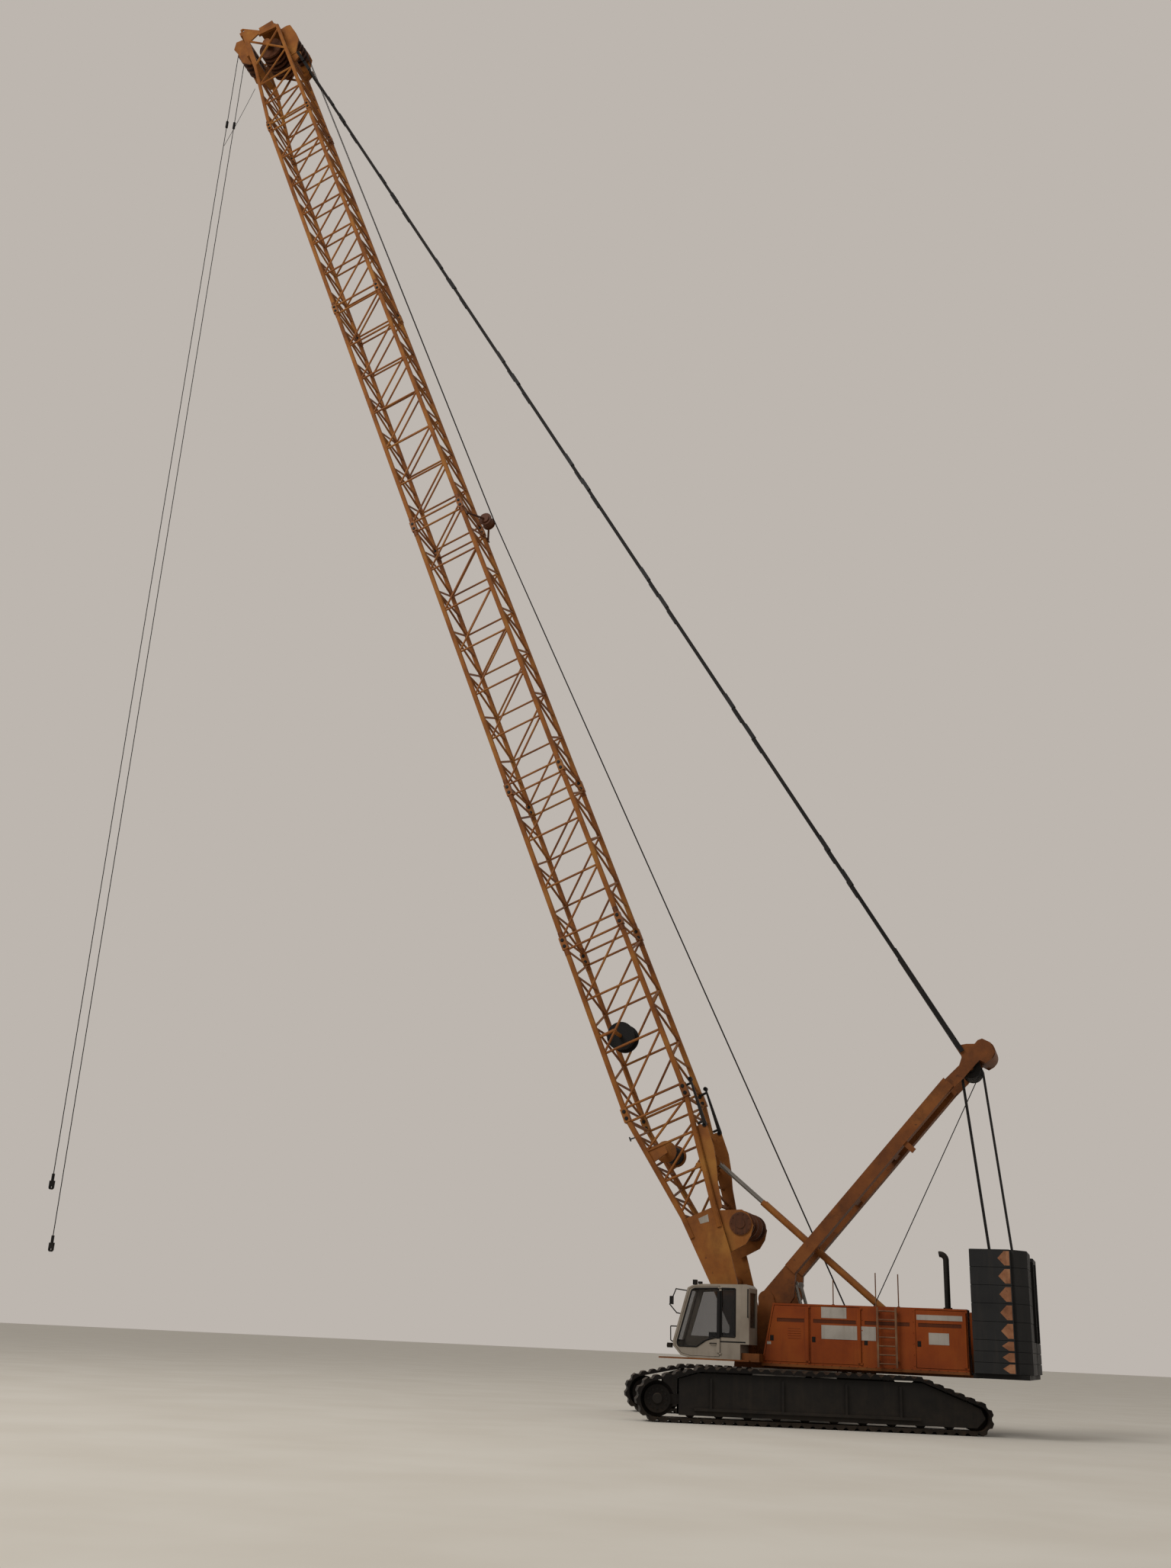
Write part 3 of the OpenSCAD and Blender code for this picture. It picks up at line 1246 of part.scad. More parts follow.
module mast_legs() {
    color(ochre) mast_frame() difference() {
        union() {
            for (y = [-1, 1]) {
                translate([0, y * leg_offset, 0]) {
                    cross_bar(0, 0, leg_foot_r, -mast_lug / 2, mast_lug / 2);
                    side_plate([[0, -90], [33, -105], [195, -288], [295, -273], [533, leg_low - 13], [560, leg_low], [560, leg_high], [0, leg_high]],
                        -mast_lug / 2, mast_lug / 2);
                    block([540, -leg_width / 2, leg_low], [leg_end, leg_width / 2, leg_high]);
                }
                // Head plates
                translate([0, y * stay_offset, 0]) {
                    side_plate([[leg_end - 200, leg_low], [leg_end + 200, leg_low - 29], [mast_length - 110, leg_low - 34], [mast_length - 90, -205],
                        [mast_length + 3, -234], [mast_length + 122, -209], [mast_length + 191, -68], [mast_length + 159, 57], [mast_length + 100, 90],
                        [mast_length + 30, 90], [stay_mast_s + 111, 180], [stay_mast_s + 50, stay_mast_d + 35], [stay_mast_s - 30, stay_mast_d + 20],
                        [stay_mast_s - 74, 110], [leg_end + 292, 60], [leg_end - 200, leg_high]], -15, 15);
                    cross_bar(stay_mast_s, stay_mast_d, 45, -15, 15);
                }
            }
            // Cross members, the lowest clear of the backstops
            for (s = [1860, solid_s + 60]) block([s, -leg_offset, leg_mid - 60], [s + 90, leg_offset, leg_mid + 60]);
            // Plate that closes the upper half, and the round bar at the end
            block([solid_s, -leg_offset, leg_mid - 20], [leg_end - 50, leg_offset, leg_mid + 20]);
            cross_bar(mast_length + 40, -85, end_bar_r, -stay_offset, stay_offset);
            // Bracket under the cab side leg
            block([2970, -leg_offset - 60, -240], [3050, -leg_offset - 20, leg_low + 1]);
            // Axle of the sheaves
            cross_bar(sheave_s, sheave_d, tackle_axle_r, -stay_offset, stay_offset);
        }
        for (y = [-1, 1]) translate([0, y * leg_offset, 0]) cross_bar(0, 0, mast_pin_r + hinge_clear, -mast_lug, mast_lug);
    }
}

sheave_s = mast_length - 280;
sheave_d = -75;
tackle_axle_r = 40;
tackle_half = 235;

module mast_sheaves() {
    color(dark) mast_frame() translate([sheave_s, 0, sheave_d]) sheave_row(tackle_r, 5, 90, tackle_half, 36, tackle_axle_r);
}

// Mast jacks, from their lower pins to the legs' foot plates

jack_eye_s = 430;
jack_eye_d = -150;
jack_tube_end = 640;
jack_rod_start = 250;
jack_angle = atan2(mast_point(jack_eye_s, jack_eye_d)[1] - jack_z, jack_x - mast_point(jack_eye_s, jack_eye_d)[0]);

module jack_frame() {
    translate([jack_x, 0, jack_z]) rotate([0, jack_angle, 0]) rotate([0, 0, 180]) children();
}

module mast_jack_tubes() {
    color(dark) jack_frame() both_sides() translate([0, jack_offset, 0]) difference() {
        union() {
            translate([80, 0, 0]) rotate([0, 90, 0]) cylinder(r = jack_tube_r, h = jack_tube_end - 80);
            cross_bar(0, 0, jack_ear_r - 6, -jack_lug / 2, jack_lug / 2);
            block([0, -jack_lug / 2, -32], [100, jack_lug / 2, 32]);
        }
        translate([115, 0, 0]) rotate([0, 90, 0]) cylinder(r = jack_rod_r + rod_clear, h = jack_tube_end);
        cross_bar(0, 0, jack_pin_r + hinge_clear, -jack_lug, jack_lug);
    }
}

// Rods, with the pin of each eye beside its foot plate
module mast_jack_rods() {
    color(pale) jack_frame() both_sides() translate([0, jack_offset, 0]) {
        translate([jack_rod_start, 0, 0]) rotate([0, 90, 0]) cylinder(r = jack_rod_r, h = jack_reach - jack_rod_start);
        cross_bar(jack_reach, 0, 44, -18, 18);
        cross_bar(jack_reach, 0, jack_pin_r, -24, leg_offset - mast_lug / 2 - jack_offset - side_gap);
    }
}

// Backstops, from their lower pins towards the boom

stop_dx = boom_point(eye_s, eye_d)[0] - stop_x;
stop_dz = boom_point(eye_s, eye_d)[1] - stop_z;
stop_angle = atan2(stop_dz, -stop_dx);
rod_clear = 1;
rod_start = 1480;
rod_length = stop_reach - rod_start;

module stop_frame() {
    translate([stop_x, 0, stop_z]) rotate([0, stop_angle, 0]) rotate([0, 0, 180]) children();
}

module backstop_tubes() {
    color(ochre) stop_frame() both_sides() translate([0, stop_offset, 0]) difference() {
        union() {
            translate([110, 0, 0]) rotate([0, 90, 0]) cylinder(r = stop_tube_r, h = stop_tube_length - 110);
            cross_bar(0, 0, 60, -stop_lug / 2, stop_lug / 2);
            block([0, -stop_lug / 2, -44], [140, stop_lug / 2, 44]);
        }
        translate([160, 0, 0]) rotate([0, 90, 0]) cylinder(r = stop_rod_r + rod_clear, h = stop_tube_length);
        cross_bar(0, 0, stop_pin_r + hinge_clear, -stop_lug, stop_lug);
    }
}

module backstop_rods() {
    color(pale) stop_frame() both_sides() translate([0, stop_offset, 0]) {
        translate([rod_start, 0, 0]) rotate([0, 90, 0]) cylinder(r = stop_rod_r, h = rod_length);
        difference() {
            cross_bar(stop_reach, 0, stop_eye_r, -stop_eye_half, stop_eye_half);
            cross_bar(stop_reach, 0, stop_pin_r, -stop_lug, stop_lug);
        }
    }
}

// Hoist ropes from the front of the head sheaves, with their sockets

// A rope at y, with its socket's pin hole at low and its limit weight below the head
module rope_fall(y, low, weight_drop) {
    axis = boom_point(front_s, front_d);
    x = axis[0] - head_sheave_r - rope_r - seat_gap;
    translate([x, y, low + 180]) cylinder(r = rope_r, h = axis[1] - low - 180, $fn = 16);
    translate([x, y, axis[1] - weight_drop]) cylinder(r = 30, h = 170, center = true);
    difference() {
        union() {
            translate([x, y, low + 60]) cylinder(r = 26, h = 190);
            translate([x, y - 26, low + 20]) block([-42, 0, 0], [42, 52, 110]);
            cross_bar(x, low + 20, 42, y - 26, y + 26);
        }
        cross_bar(x, low + 20, socket_hole_r, y - 30, y + 30);
    }
}

module hoist_ropes() {
    color(dark) {
        rope_fall(0, rope_low, 1905);
        rope_fall(-2 * sheave_pitch, rope_low + 1025, 2120);
    }
}

car_body();
crawler_frames();
track_wheels();
track_loop(-1);  // track_loop_left
track_loop(1);  // track_loop_right
slewing_ring();
deck_frame();
housing_left();
housing_right();
door_left_front();
door_left_middle();
door_left_rear();
door_right_front();
door_right_middle();
door_right_rear();
engine_block();
roof_ladder();
exhaust_pipe();
cab_shell();
cab_door();
door_glass();
cab_glass();
cab_seat();
cab_platform();
cab_fittings();
ballast_tray();
slabs_left();
slabs_right();
luff_winch();
hoist_winch();
luff_block();
block_sheaves();
boom_foot_section();
boom_short_lower();
boom_short_upper();
boom_long_lower();
boom_long_middle();
boom_long_upper();
boom_head();
front_sheaves();
main_sheaves();
back_sheaves();
boom_winch();
tag_winch();
cable_reel();
rope_guide();
tip_mast();
stays();
mast_legs();
mast_sheaves();
mast_jack_tubes();
mast_jack_rods();
backstop_tubes();
backstop_rods();
hoist_ropes();
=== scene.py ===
import bpy, bmesh, json, math
from mathutils import Vector, Matrix


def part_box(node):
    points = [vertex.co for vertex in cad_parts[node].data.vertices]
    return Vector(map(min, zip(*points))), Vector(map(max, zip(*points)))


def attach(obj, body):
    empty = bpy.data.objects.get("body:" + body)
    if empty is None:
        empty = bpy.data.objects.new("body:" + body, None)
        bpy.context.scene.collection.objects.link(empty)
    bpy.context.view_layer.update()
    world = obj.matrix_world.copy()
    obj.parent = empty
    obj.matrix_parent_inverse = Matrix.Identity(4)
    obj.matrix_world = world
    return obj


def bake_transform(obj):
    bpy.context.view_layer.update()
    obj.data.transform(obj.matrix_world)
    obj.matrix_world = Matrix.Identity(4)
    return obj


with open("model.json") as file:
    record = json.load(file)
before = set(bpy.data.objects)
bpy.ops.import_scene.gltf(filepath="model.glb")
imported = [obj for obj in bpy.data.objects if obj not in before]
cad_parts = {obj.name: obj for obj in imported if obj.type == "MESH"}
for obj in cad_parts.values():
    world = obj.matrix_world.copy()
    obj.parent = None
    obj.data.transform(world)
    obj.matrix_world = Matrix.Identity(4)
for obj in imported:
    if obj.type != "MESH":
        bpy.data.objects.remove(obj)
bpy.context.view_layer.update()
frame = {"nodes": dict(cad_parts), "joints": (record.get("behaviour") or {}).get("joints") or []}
nodes = frame["nodes"]
joints = {j["name"]: j for j in frame["joints"]}
print("frame loaded:", len(nodes), "nodes")


# places: millimetres of the drawing turned into metres of the frame

boomAngle = math.radians(67.4)
mastAngle = math.radians(48.5)
trackTurn = math.radians(20)
boomFoot = Vector(joints["boom_luff"]["pos_m"])
mastFoot = Vector(joints["mast_luff"]["pos_m"])


def machinePoint(x, y, z):
    return Vector((x, y, z)) / 1000


# along the boom from its foot pin, across it, and towards its back
def boomPoint(along, y, back):
    x = -along * math.cos(boomAngle) + back * math.sin(boomAngle)
    z = along * math.sin(boomAngle) + back * math.cos(boomAngle)
    return boomFoot + Vector((x, y, z)) / 1000


# along the mast from its foot pin, across it, and towards the boom
def mastPoint(along, y, up):
    x = along * math.cos(mastAngle) - up * math.sin(mastAngle)
    z = along * math.sin(mastAngle) + up * math.cos(mastAngle)
    return mastFoot + Vector((x, y, z)) / 1000


# along the tracks, across them and up, turned with the crawlers
def crawlerPoint(x, y, z):
    return Matrix.Rotation(trackTurn, 3, "Z") @ Vector((x, y, z)) / 1000


# colours and materials

def linearColor(hexCode, alpha=1.0):
    parts = [int(hexCode[i:i + 2], 16) / 255 for i in (1, 3, 5)]
    return tuple(p / 12.92 if p <= 0.04045 else ((p + 0.055) / 1.055) ** 2.4 for p in parts) + (alpha,)


def addNode(tree, kind, inputs=None, **settings):
    node = tree.nodes.new(kind)
    for name, value in settings.items():
        setattr(node, name, value)
    for name, value in (inputs or {}).items():
        socket = node.inputs[name]
        if isinstance(value, bpy.types.NodeSocket):
            tree.links.new(value, socket)
        else:
            socket.default_value = value
    return node


def colorSteps(tree, factor, steps):
    ramp = addNode(tree, "ShaderNodeValToRGB", {"Fac": factor})
    while len(ramp.color_ramp.elements) > 1:
        ramp.color_ramp.elements.remove(ramp.color_ramp.elements[-1])
    ramp.color_ramp.elements[0].position = steps[0][0]
    ramp.color_ramp.elements[0].color = steps[0][1]
    for place, color in steps[1:]:
        ramp.color_ramp.elements.new(place).color = color
    return ramp.outputs["Color"]


def mixColor(tree, factor, first, second, blend="MIX"):
    node = addNode(tree, "ShaderNodeMix", {0: factor}, data_type="RGBA", blend_type=blend)
    for index, value in ((6, first), (7, second)):
        if isinstance(value, bpy.types.NodeSocket):
            tree.links.new(value, node.inputs[index])
        else:
            node.inputs[index].default_value = value
    return node.outputs[2]


def noiseFactor(tree, vector, scale, detail, roughness=0.5):
    inputs = {"Vector": vector, "Scale": scale, "Detail": detail, "Roughness": roughness}
    return addNode(tree, "ShaderNodeTexNoise", inputs).outputs["Fac"]


# a value carried from one range to another
def remapped(tree, value, start, end, low, high):
    inputs = {"Value": value, "From Min": start, "From Max": end, "To Min": low, "To Max": high}
    return addNode(tree, "ShaderNodeMapRange", inputs).outputs["Result"]


def combined(tree, operation, first, second):
    return addNode(tree, "ShaderNodeMath", {0: first, 1: second}, operation=operation).outputs["Value"]


def axisZ(tree, vector):
    return addNode(tree, "ShaderNodeSeparateXYZ", {"Vector": vector}).outputs["Z"]


def grayStep(value):
    return (value, value, value, 1)


def emptyMaterial(name):
    material = bpy.data.materials.new(name)
    material.use_nodes = True
    material.node_tree.nodes.clear()
    return material, material.node_tree


# a finish in the open air: it fades in clouds, runs in streaks, rusts in spots and gathers dust
def weatheredFinish(name, look):
    material, tree = emptyMaterial(name)
    place = addNode(tree, "ShaderNodeTexCoord")
    point = place.outputs["Object"]
    clouds = noiseFactor(tree, point, look.get("cloudScale", 1.6), 6.0, 0.6)
    shades = [(0.3, "deep"), (0.5, "color"), (0.72, "faded")]
    color = colorSteps(tree, clouds, [(step, linearColor(look[shade])) for step, shade in shades])
    drawnOut = addNode(tree, "ShaderNodeMapping", {"Vector": point,
                                                   "Scale": look.get("streakShape", (9, 9, 0.9))})
    runs = noiseFactor(tree, drawnOut.outputs["Vector"], 1.4, 5.0, 0.65)
    streaks = colorSteps(tree, runs, [(0.5, grayStep(0)), (0.75, grayStep(look.get("streaks", 0.35)))])
    color = mixColor(tree, streaks, color, linearColor(look["streakColor"]))
    if "rust" in look:
        spots = noiseFactor(tree, point, look.get("rustScale", 14.0), 8.0, 0.7)
        rusted = colorSteps(tree, spots, [(look["rustFrom"], grayStep(0)),
                                          (look["rustFrom"] + 0.05, grayStep(0.8))])
        color = mixColor(tree, rusted, color, linearColor(look["rust"]))
    # dust lies on what faces up, thicker near the ground
    upward = remapped(tree, axisZ(tree, place.outputs["Normal"]), 0.3, 1.0, 0.0, look.get("dustTop", 0.5))
    low = remapped(tree, axisZ(tree, point), 0.0, look.get("dustHeight", 0.6), look.get("dustLow", 0.0), 0.0)
    patches = remapped(tree, noiseFactor(tree, point, 6.0, 7.0, 0.7), 0.35, 0.65, 0.25, 1.0)
    dust = combined(tree, "MULTIPLY", combined(tree, "MAXIMUM", upward, low), patches)
    color = mixColor(tree, dust, color, linearColor(look.get("dustColor", "#6F5C48")))
    roughness = remapped(tree, clouds, 0.3, 0.7, look["roughness"] - 0.08, look["roughness"] + 0.1)
    fine = noiseFactor(tree, point, look.get("bumpScale", 60.0), 4.0)
    bump = addNode(tree, "ShaderNodeBump", {"Height": fine, "Strength": look.get("bump", 0.15),
                                            "Distance": 0.004})
    shader = addNode(tree, "ShaderNodeBsdfPrincipled", {
        "Base Color": color, "Roughness": roughness, "Normal": bump.outputs["Normal"],
        "Metallic": look.get("metallic", 0.0), "Specular IOR Level": look.get("specular", 0.18)})
    addNode(tree, "ShaderNodeOutputMaterial", {"Surface": shader.outputs["BSDF"]})
    return material


finishes = {
    # alkyd paint rolled on steel tubes, chalked by sun and scraped to rust where ropes and slings rub
    "boomPaint": weatheredFinish("alkydPaintOchre", {
        "color": "#86501F", "deep": "#673A16", "faded": "#98672D", "streakColor": "#542B12", "streaks": 0.55,
        "rust": "#3E2013", "rustFrom": 0.64, "roughness": 0.55, "streakShape": (3, 9, 1.2), "dustTop": 0.15}),
    # the same paint on the mast, browner from rope grease
    "mastPaint": weatheredFinish("alkydPaintGreased", {
        "color": "#724019", "deep": "#512C14", "faded": "#865225", "streakColor": "#38210F", "streaks": 0.7,
        "rust": "#321B10", "rustFrom": 0.62, "roughness": 0.55, "streakShape": (2.2, 9, 2.2), "dustTop": 0.12}),
    # sprayed enamel on sheet steel, with dust on its upper faces, thicker towards the foot
    "housingPaint": weatheredFinish("enamelOnSheetSteel", {
        "color": "#83390A", "deep": "#702D08", "faded": "#8E4511", "streakColor": "#5C2609", "roughness": 0.5,
        "bump": 0.06, "dustTop": 0.3, "dustHeight": 1.1, "dustLow": 0.12}),
    # the same enamel darkened in the grooves: painted shade inside them
    "grooveShadePaint": weatheredFinish("enamelWithPaintedGrooveShade", {
        "color": "#4E240E", "deep": "#3E1D0C", "faded": "#5A2C12", "streakColor": "#33190C", "roughness": 0.6,
        "bump": 0.06, "dustTop": 0.3}),
    # sprayed enamel on the cab, yellowed, with grey runs under its seams
    "cabPaint": weatheredFinish("enamelOnCabPanels", {
        "color": "#8A7F71", "deep": "#7A6E61", "faded": "#978C7E", "streakColor": "#62574B",
        "roughness": 0.45, "bump": 0.05, "dustTop": 0.3, "dustHeight": 1.2, "dustLow": 0.3}),
    # thick primer on cast and cut steel slabs, scuffed by slings
    "ballastPaint": weatheredFinish("primerOnBallastSlabs", {
        "color": "#232323", "deep": "#1B1B1C", "faded": "#2D2C2C", "streakColor": "#3A342E",
        "rust": "#38281F", "rustFrom": 0.68, "roughness": 0.65, "dustTop": 0.4, "dustLow": 0.1}),
    # orange paint that shows at the slabs' lifting corners, worn to brown
    "cornerPaint": weatheredFinish("wornCornerPaint", {
        "color": "#8A5C40", "deep": "#6B432C", "faded": "#9A7052", "streakColor": "#4E3424", "streaks": 0.55,
        "rust": "#36231A", "rustFrom": 0.62, "roughness": 0.62, "cloudScale": 5.0, "dustTop": 0.1}),
    "frameDark": weatheredFinish("paintOnWeldedFrame", {
        "color": "#141312", "deep": "#0F0E0E", "faded": "#1C1A18", "streakColor": "#2A241D",
        "rust": "#261A12", "rustFrom": 0.7, "roughness": 0.65, "dustTop": 0.55, "dustHeight": 0.7,
        "dustLow": 0.12}),
    # forged track shoes, worn bright on their lugs and packed with sand
    "trackSteel": weatheredFinish("forgedTrackSteel", {
        "color": "#151210", "deep": "#0F0D0C", "faded": "#1E1916", "streakColor": "#2B231B", "streaks": 0.3,
        "rust": "#2C1D14", "rustFrom": 0.62, "roughness": 0.66, "metallic": 0.25, "dustTop": 0.5,
        "dustHeight": 0.3, "dustLow": 0.18}),
    "machinedSteel": weatheredFinish("groundSteel", {
        "color": "#7C7872", "deep": "#65625D", "faded": "#8F8B85", "streakColor": "#55514A", "streaks": 0.3,
        "roughness": 0.34, "metallic": 0.8, "specular": 0.5, "bump": 0.05, "dustTop": 0.2}),
    "castDark": weatheredFinish("greasyCastSteel", {
        "color": "#1B1917", "deep": "#131211", "faded": "#27231F", "streakColor": "#382B1F", "streaks": 0.4,
        "rust": "#352115", "rustFrom": 0.63, "roughness": 0.5, "metallic": 0.3, "dustTop": 0.25}),
    # primer and rust on sheaves and drum flanges that run in grease
    "sheaveBrown": weatheredFinish("rustySheavePrimer", {
        "color": "#4F2C18", "deep": "#382012", "faded": "#63391F", "streakColor": "#26180F", "streaks": 0.6,
        "rust": "#2A1A12", "rustFrom": 0.6, "roughness": 0.55, "dustTop": 0.1}),
    "ropeSteel": weatheredFinish("greasedWireRope", {
        "color": "#1B1A19", "deep": "#141313", "faded": "#282523", "streakColor": "#302B26", "streaks": 0.3,
        "roughness": 0.5, "metallic": 0.4, "dustTop": 0.1}),
    "ladderPaint": weatheredFinish("wornLadderPaint", {
        "color": "#6B4730", "deep": "#56331F", "faded": "#7E6247", "streakColor": "#442F20", "streaks": 0.5,
        "roughness": 0.6, "cloudScale": 4.0, "dustTop": 0.3}),
    "seatPlastic": weatheredFinish("mouldedSeatPlastic", {
        "color": "#121213", "deep": "#0E0E0F", "faded": "#1A1B1C", "streakColor": "#222222", "streaks": 0.2,
        "roughness": 0.7, "dustTop": 0.15}),
    # black rubber of gaskets, hoses and the reel's cable
    "blackRubber": weatheredFinish("agedRubber", {
        "color": "#131211", "deep": "#0F0E0E", "faded": "#1B1918", "streakColor": "#262220", "streaks": 0.25,
        "roughness": 0.62, "bumpScale": 140.0, "dustTop": 0.15}),
    # white enamel on thin sheet, greyed by dust
    "paleSheet": weatheredFinish("paleSheetEnamel", {
        "color": "#9E968C", "deep": "#898177", "faded": "#ABA399", "streakColor": "#70675C", "streaks": 0.4,
        "roughness": 0.5, "bump": 0.03, "dustTop": 0.1}),
}


# toughened glass, tinted, that mirrors the sky at a flat angle
def tintedGlass(name, tint, clear):
    material, tree = emptyMaterial(name)
    gloss = addNode(tree, "ShaderNodeBsdfPrincipled",
                    {"Base Color": linearColor(tint), "Roughness": 0.06, "IOR": 1.5, "Alpha": clear})
    addNode(tree, "ShaderNodeOutputMaterial", {"Surface": gloss.outputs["BSDF"]})
    return material


finishes["glass"] = tintedGlass("tintedCabGlass", "#141313", 0.42)
finishes["clearGlass"] = tintedGlass("clearDoorGlass", "#141313", 0.24)

nodeFinish = {
    "boomPaint": ["luff_block", "boom_foot_section", "boom_short_lower", "boom_short_upper", "boom_long_lower",
                  "boom_long_middle", "boom_long_upper", "boom_head", "backstop_tubes", "tag_winch"],
    "mastPaint": ["deck_frame", "mast_legs", "cab_platform"],
    "housingPaint": ["housing_left", "housing_right", "door_left_front", "door_left_middle", "door_left_rear",
                     "door_right_front", "door_right_middle", "door_right_rear"],
    "cabPaint": ["cab_shell", "cab_door"],
    "ballastPaint": ["slabs_left", "slabs_right"],
    "frameDark": ["car_body", "crawler_frames", "ballast_tray", "engine_block"],
    "trackSteel": ["track_loop_left", "track_loop_right", "track_wheels"],
    "machinedSteel": ["slewing_ring", "backstop_rods", "mast_jack_rods"],
    "castDark": ["block_sheaves", "mast_sheaves", "luff_winch", "hoist_winch", "exhaust_pipe", "tip_mast",
                 "cab_fittings", "mast_jack_tubes"],
    "sheaveBrown": ["front_sheaves", "main_sheaves", "back_sheaves", "boom_winch", "rope_guide"],
    "blackRubber": ["cable_reel"],
    "ropeSteel": ["stays", "hoist_ropes"],
    "ladderPaint": ["roof_ladder"],
    "seatPlastic": ["cab_seat"],
    "glass": ["cab_glass"],
    "clearGlass": ["door_glass"],
}
for finish, names in nodeFinish.items():
    for name in names:
        for slotPlace in nodes[name].material_slots:
            slotPlace.material = finishes[finish]
unpainted = set(nodes) - {name for names in nodeFinish.values() for name in names}
print("finishes set; nodes without one:", sorted(unpainted))


# shapes as lists of corners and faces, in metres

# the quads between pairs of rings, each with so many corners
def ringFaces(pairs, sides):
    return [(i * sides + k, i * sides + (k + 1) % sides, j * sides + (k + 1) % sides, j * sides + k)
            for i, j in pairs for k in range(sides)]


def tubeShape(points, radius, sides=10):
    corners = []
    points = [Vector(p) for p in points]
    side = None
    for i, p in enumerate(points):
        ahead = (points[min(i + 1, len(points) - 1)] - points[max(i - 1, 0)]).normalized()
        if side is None:
            side = ahead.orthogonal().normalized()
        side = (side - ahead * side.dot(ahead)).normalized()
        other = ahead.cross(side)
        for k in range(sides):
            a = 2 * math.pi * k / sides
            corners.append(p + (side * math.cos(a) + other * math.sin(a)) * radius)
    faces = ringFaces([(i, i + 1) for i in range(len(points) - 1)], sides)
    faces.append(tuple(reversed(range(sides))))
    faces.append(tuple(len(corners) - sides + k for k in range(sides)))
    return corners, faces


# a flat plate from its outline, pushed along a direction
def plateShape(outline, push):
    count = len(outline)
    corners = [Vector(p) for p in outline] + [Vector(p) + Vector(push) for p in outline]
    faces = [tuple(range(count)), tuple(range(2 * count - 1, count - 1, -1))]
    faces += [(k, (k + 1) % count, count + (k + 1) % count, count + k) for k in range(count)]
    return corners, faces


# a body turned round an axis along Y, from a profile of radius and offset
def turnedShape(centre, profile, sides=40):
    corners = []
    for radius, offset in profile:
        for k in range(sides):
            a = 2 * math.pi * k / sides
            corners.append(Vector(centre) + Vector((radius * math.cos(a), offset, radius * math.sin(a))))
    rows = len(profile)
    return corners, ringFaces([(i, (i + 1) % rows) for i in range(rows)], sides)


# one mesh object from several shapes, with its edges a little rounded, at the origin
def addPiece(name, shapes, finish, bevel=0.0, smooth=False):
    mesh = bpy.data.meshes.new(name)
    corners, faces = [], []
    for shapeCorners, shapeFaces in shapes:
        start = len(corners)
        corners += shapeCorners
        faces += [tuple(start + i for i in face) for face in shapeFaces]
    mesh.from_pydata(corners, [], faces)
    work = bmesh.new()
    work.from_mesh(mesh)
    bmesh.ops.recalc_face_normals(work, faces=work.faces)
    if bevel:
        bmesh.ops.bevel(work, geom=list(work.edges), offset=bevel, segments=1, affect="EDGES")
    work.to_mesh(mesh)
    work.free()
    mesh.materials.append(finishes[finish])
    if smooth:
        mesh.shade_smooth()
        mesh.set_sharp_from_angle(angle=math.radians(40))
    piece = bpy.data.objects.new(name, mesh)
    bpy.context.scene.collection.objects.link(piece)
    return piece


# a node group that sets one part on every point of a mesh
def repeatGroup():
    group = bpy.data.node_groups.new("repeatOnPoints", "GeometryNodeTree")
    sockets = {}
    for label, kind in (("Geometry", "Geometry"), ("Part", "Object"), ("Size", "Float"), ("Spread", "Float"),
                        ("Seed", "Int"), ("Finish", "Material")):
        socket = group.interface.new_socket(label, in_out="INPUT", socket_type="NodeSocket" + kind)
        sockets[label] = socket.identifier
    group.interface.new_socket("Geometry", in_out="OUTPUT", socket_type="NodeSocketGeometry")
    given = addNode(group, "NodeGroupInput")
    part = addNode(group, "GeometryNodeObjectInfo", {"Object": given.outputs["Part"]})
    least = combined(group, "SUBTRACT", given.outputs["Size"], given.outputs["Spread"])
    most = combined(group, "ADD", given.outputs["Size"], given.outputs["Spread"])
    chance = addNode(group, "FunctionNodeRandomValue", {2: least, 3: most, "Seed": given.outputs["Seed"]},
                     data_type="FLOAT")
    copies = addNode(group, "GeometryNodeInstanceOnPoints",
                     {"Points": given.outputs["Geometry"], "Instance": part.outputs["Geometry"]})
    group.links.new(chance.outputs[1], copies.inputs["Scale"])
    real = addNode(group, "GeometryNodeRealizeInstances", {"Geometry": copies.outputs["Instances"]})
    painted = addNode(group, "GeometryNodeSetMaterial",
                      {"Geometry": real.outputs["Geometry"], "Material": given.outputs["Finish"]})
    result = addNode(group, "NodeGroupOutput")
    group.links.new(painted.outputs["Geometry"], result.inputs["Geometry"])
    return group, sockets


repeater, repeaterSockets = repeatGroup()


# one plain mesh with a copy of a shape at every point
def addRepeats(name, shape, points, finish, spread=0.0, seed=7):
    part = addPiece(name + "Part", [shape], finish, smooth=True)
    holder = addPiece(name + "Points", [(list(points), [])], finish)
    modifier = holder.modifiers.new("repeat", "NODES")
    modifier.node_group = repeater
    for label, value in (("Part", part), ("Size", 1.0), ("Spread", spread), ("Seed", seed),
                         ("Finish", finishes[finish])):
        modifier[repeaterSockets[label]] = value
    bpy.context.view_layer.update()
    ready = holder.evaluated_get(bpy.context.evaluated_depsgraph_get())
    mesh = bpy.data.meshes.new_from_object(ready)
    mesh.name = name
    holder.modifiers.clear()
    for extra in (part, holder):
        bpy.data.objects.remove(extra)
    piece = bpy.data.objects.new(name, mesh)
    bpy.context.scene.collection.objects.link(piece)
    return piece


# boom: straps on its back, hook bar, label plate, section joints and winch ropes

strapSettings = {"lows": (3052, 566), "highs": (3782, 621), "side": 470, "width": 38, "depth": 26,
                 "footDepth": 57.2, "endRadius": 34, "endHalf": 0.03, "legInset": 60,
                 "legFoot": 500, "legRadius": 0.02}


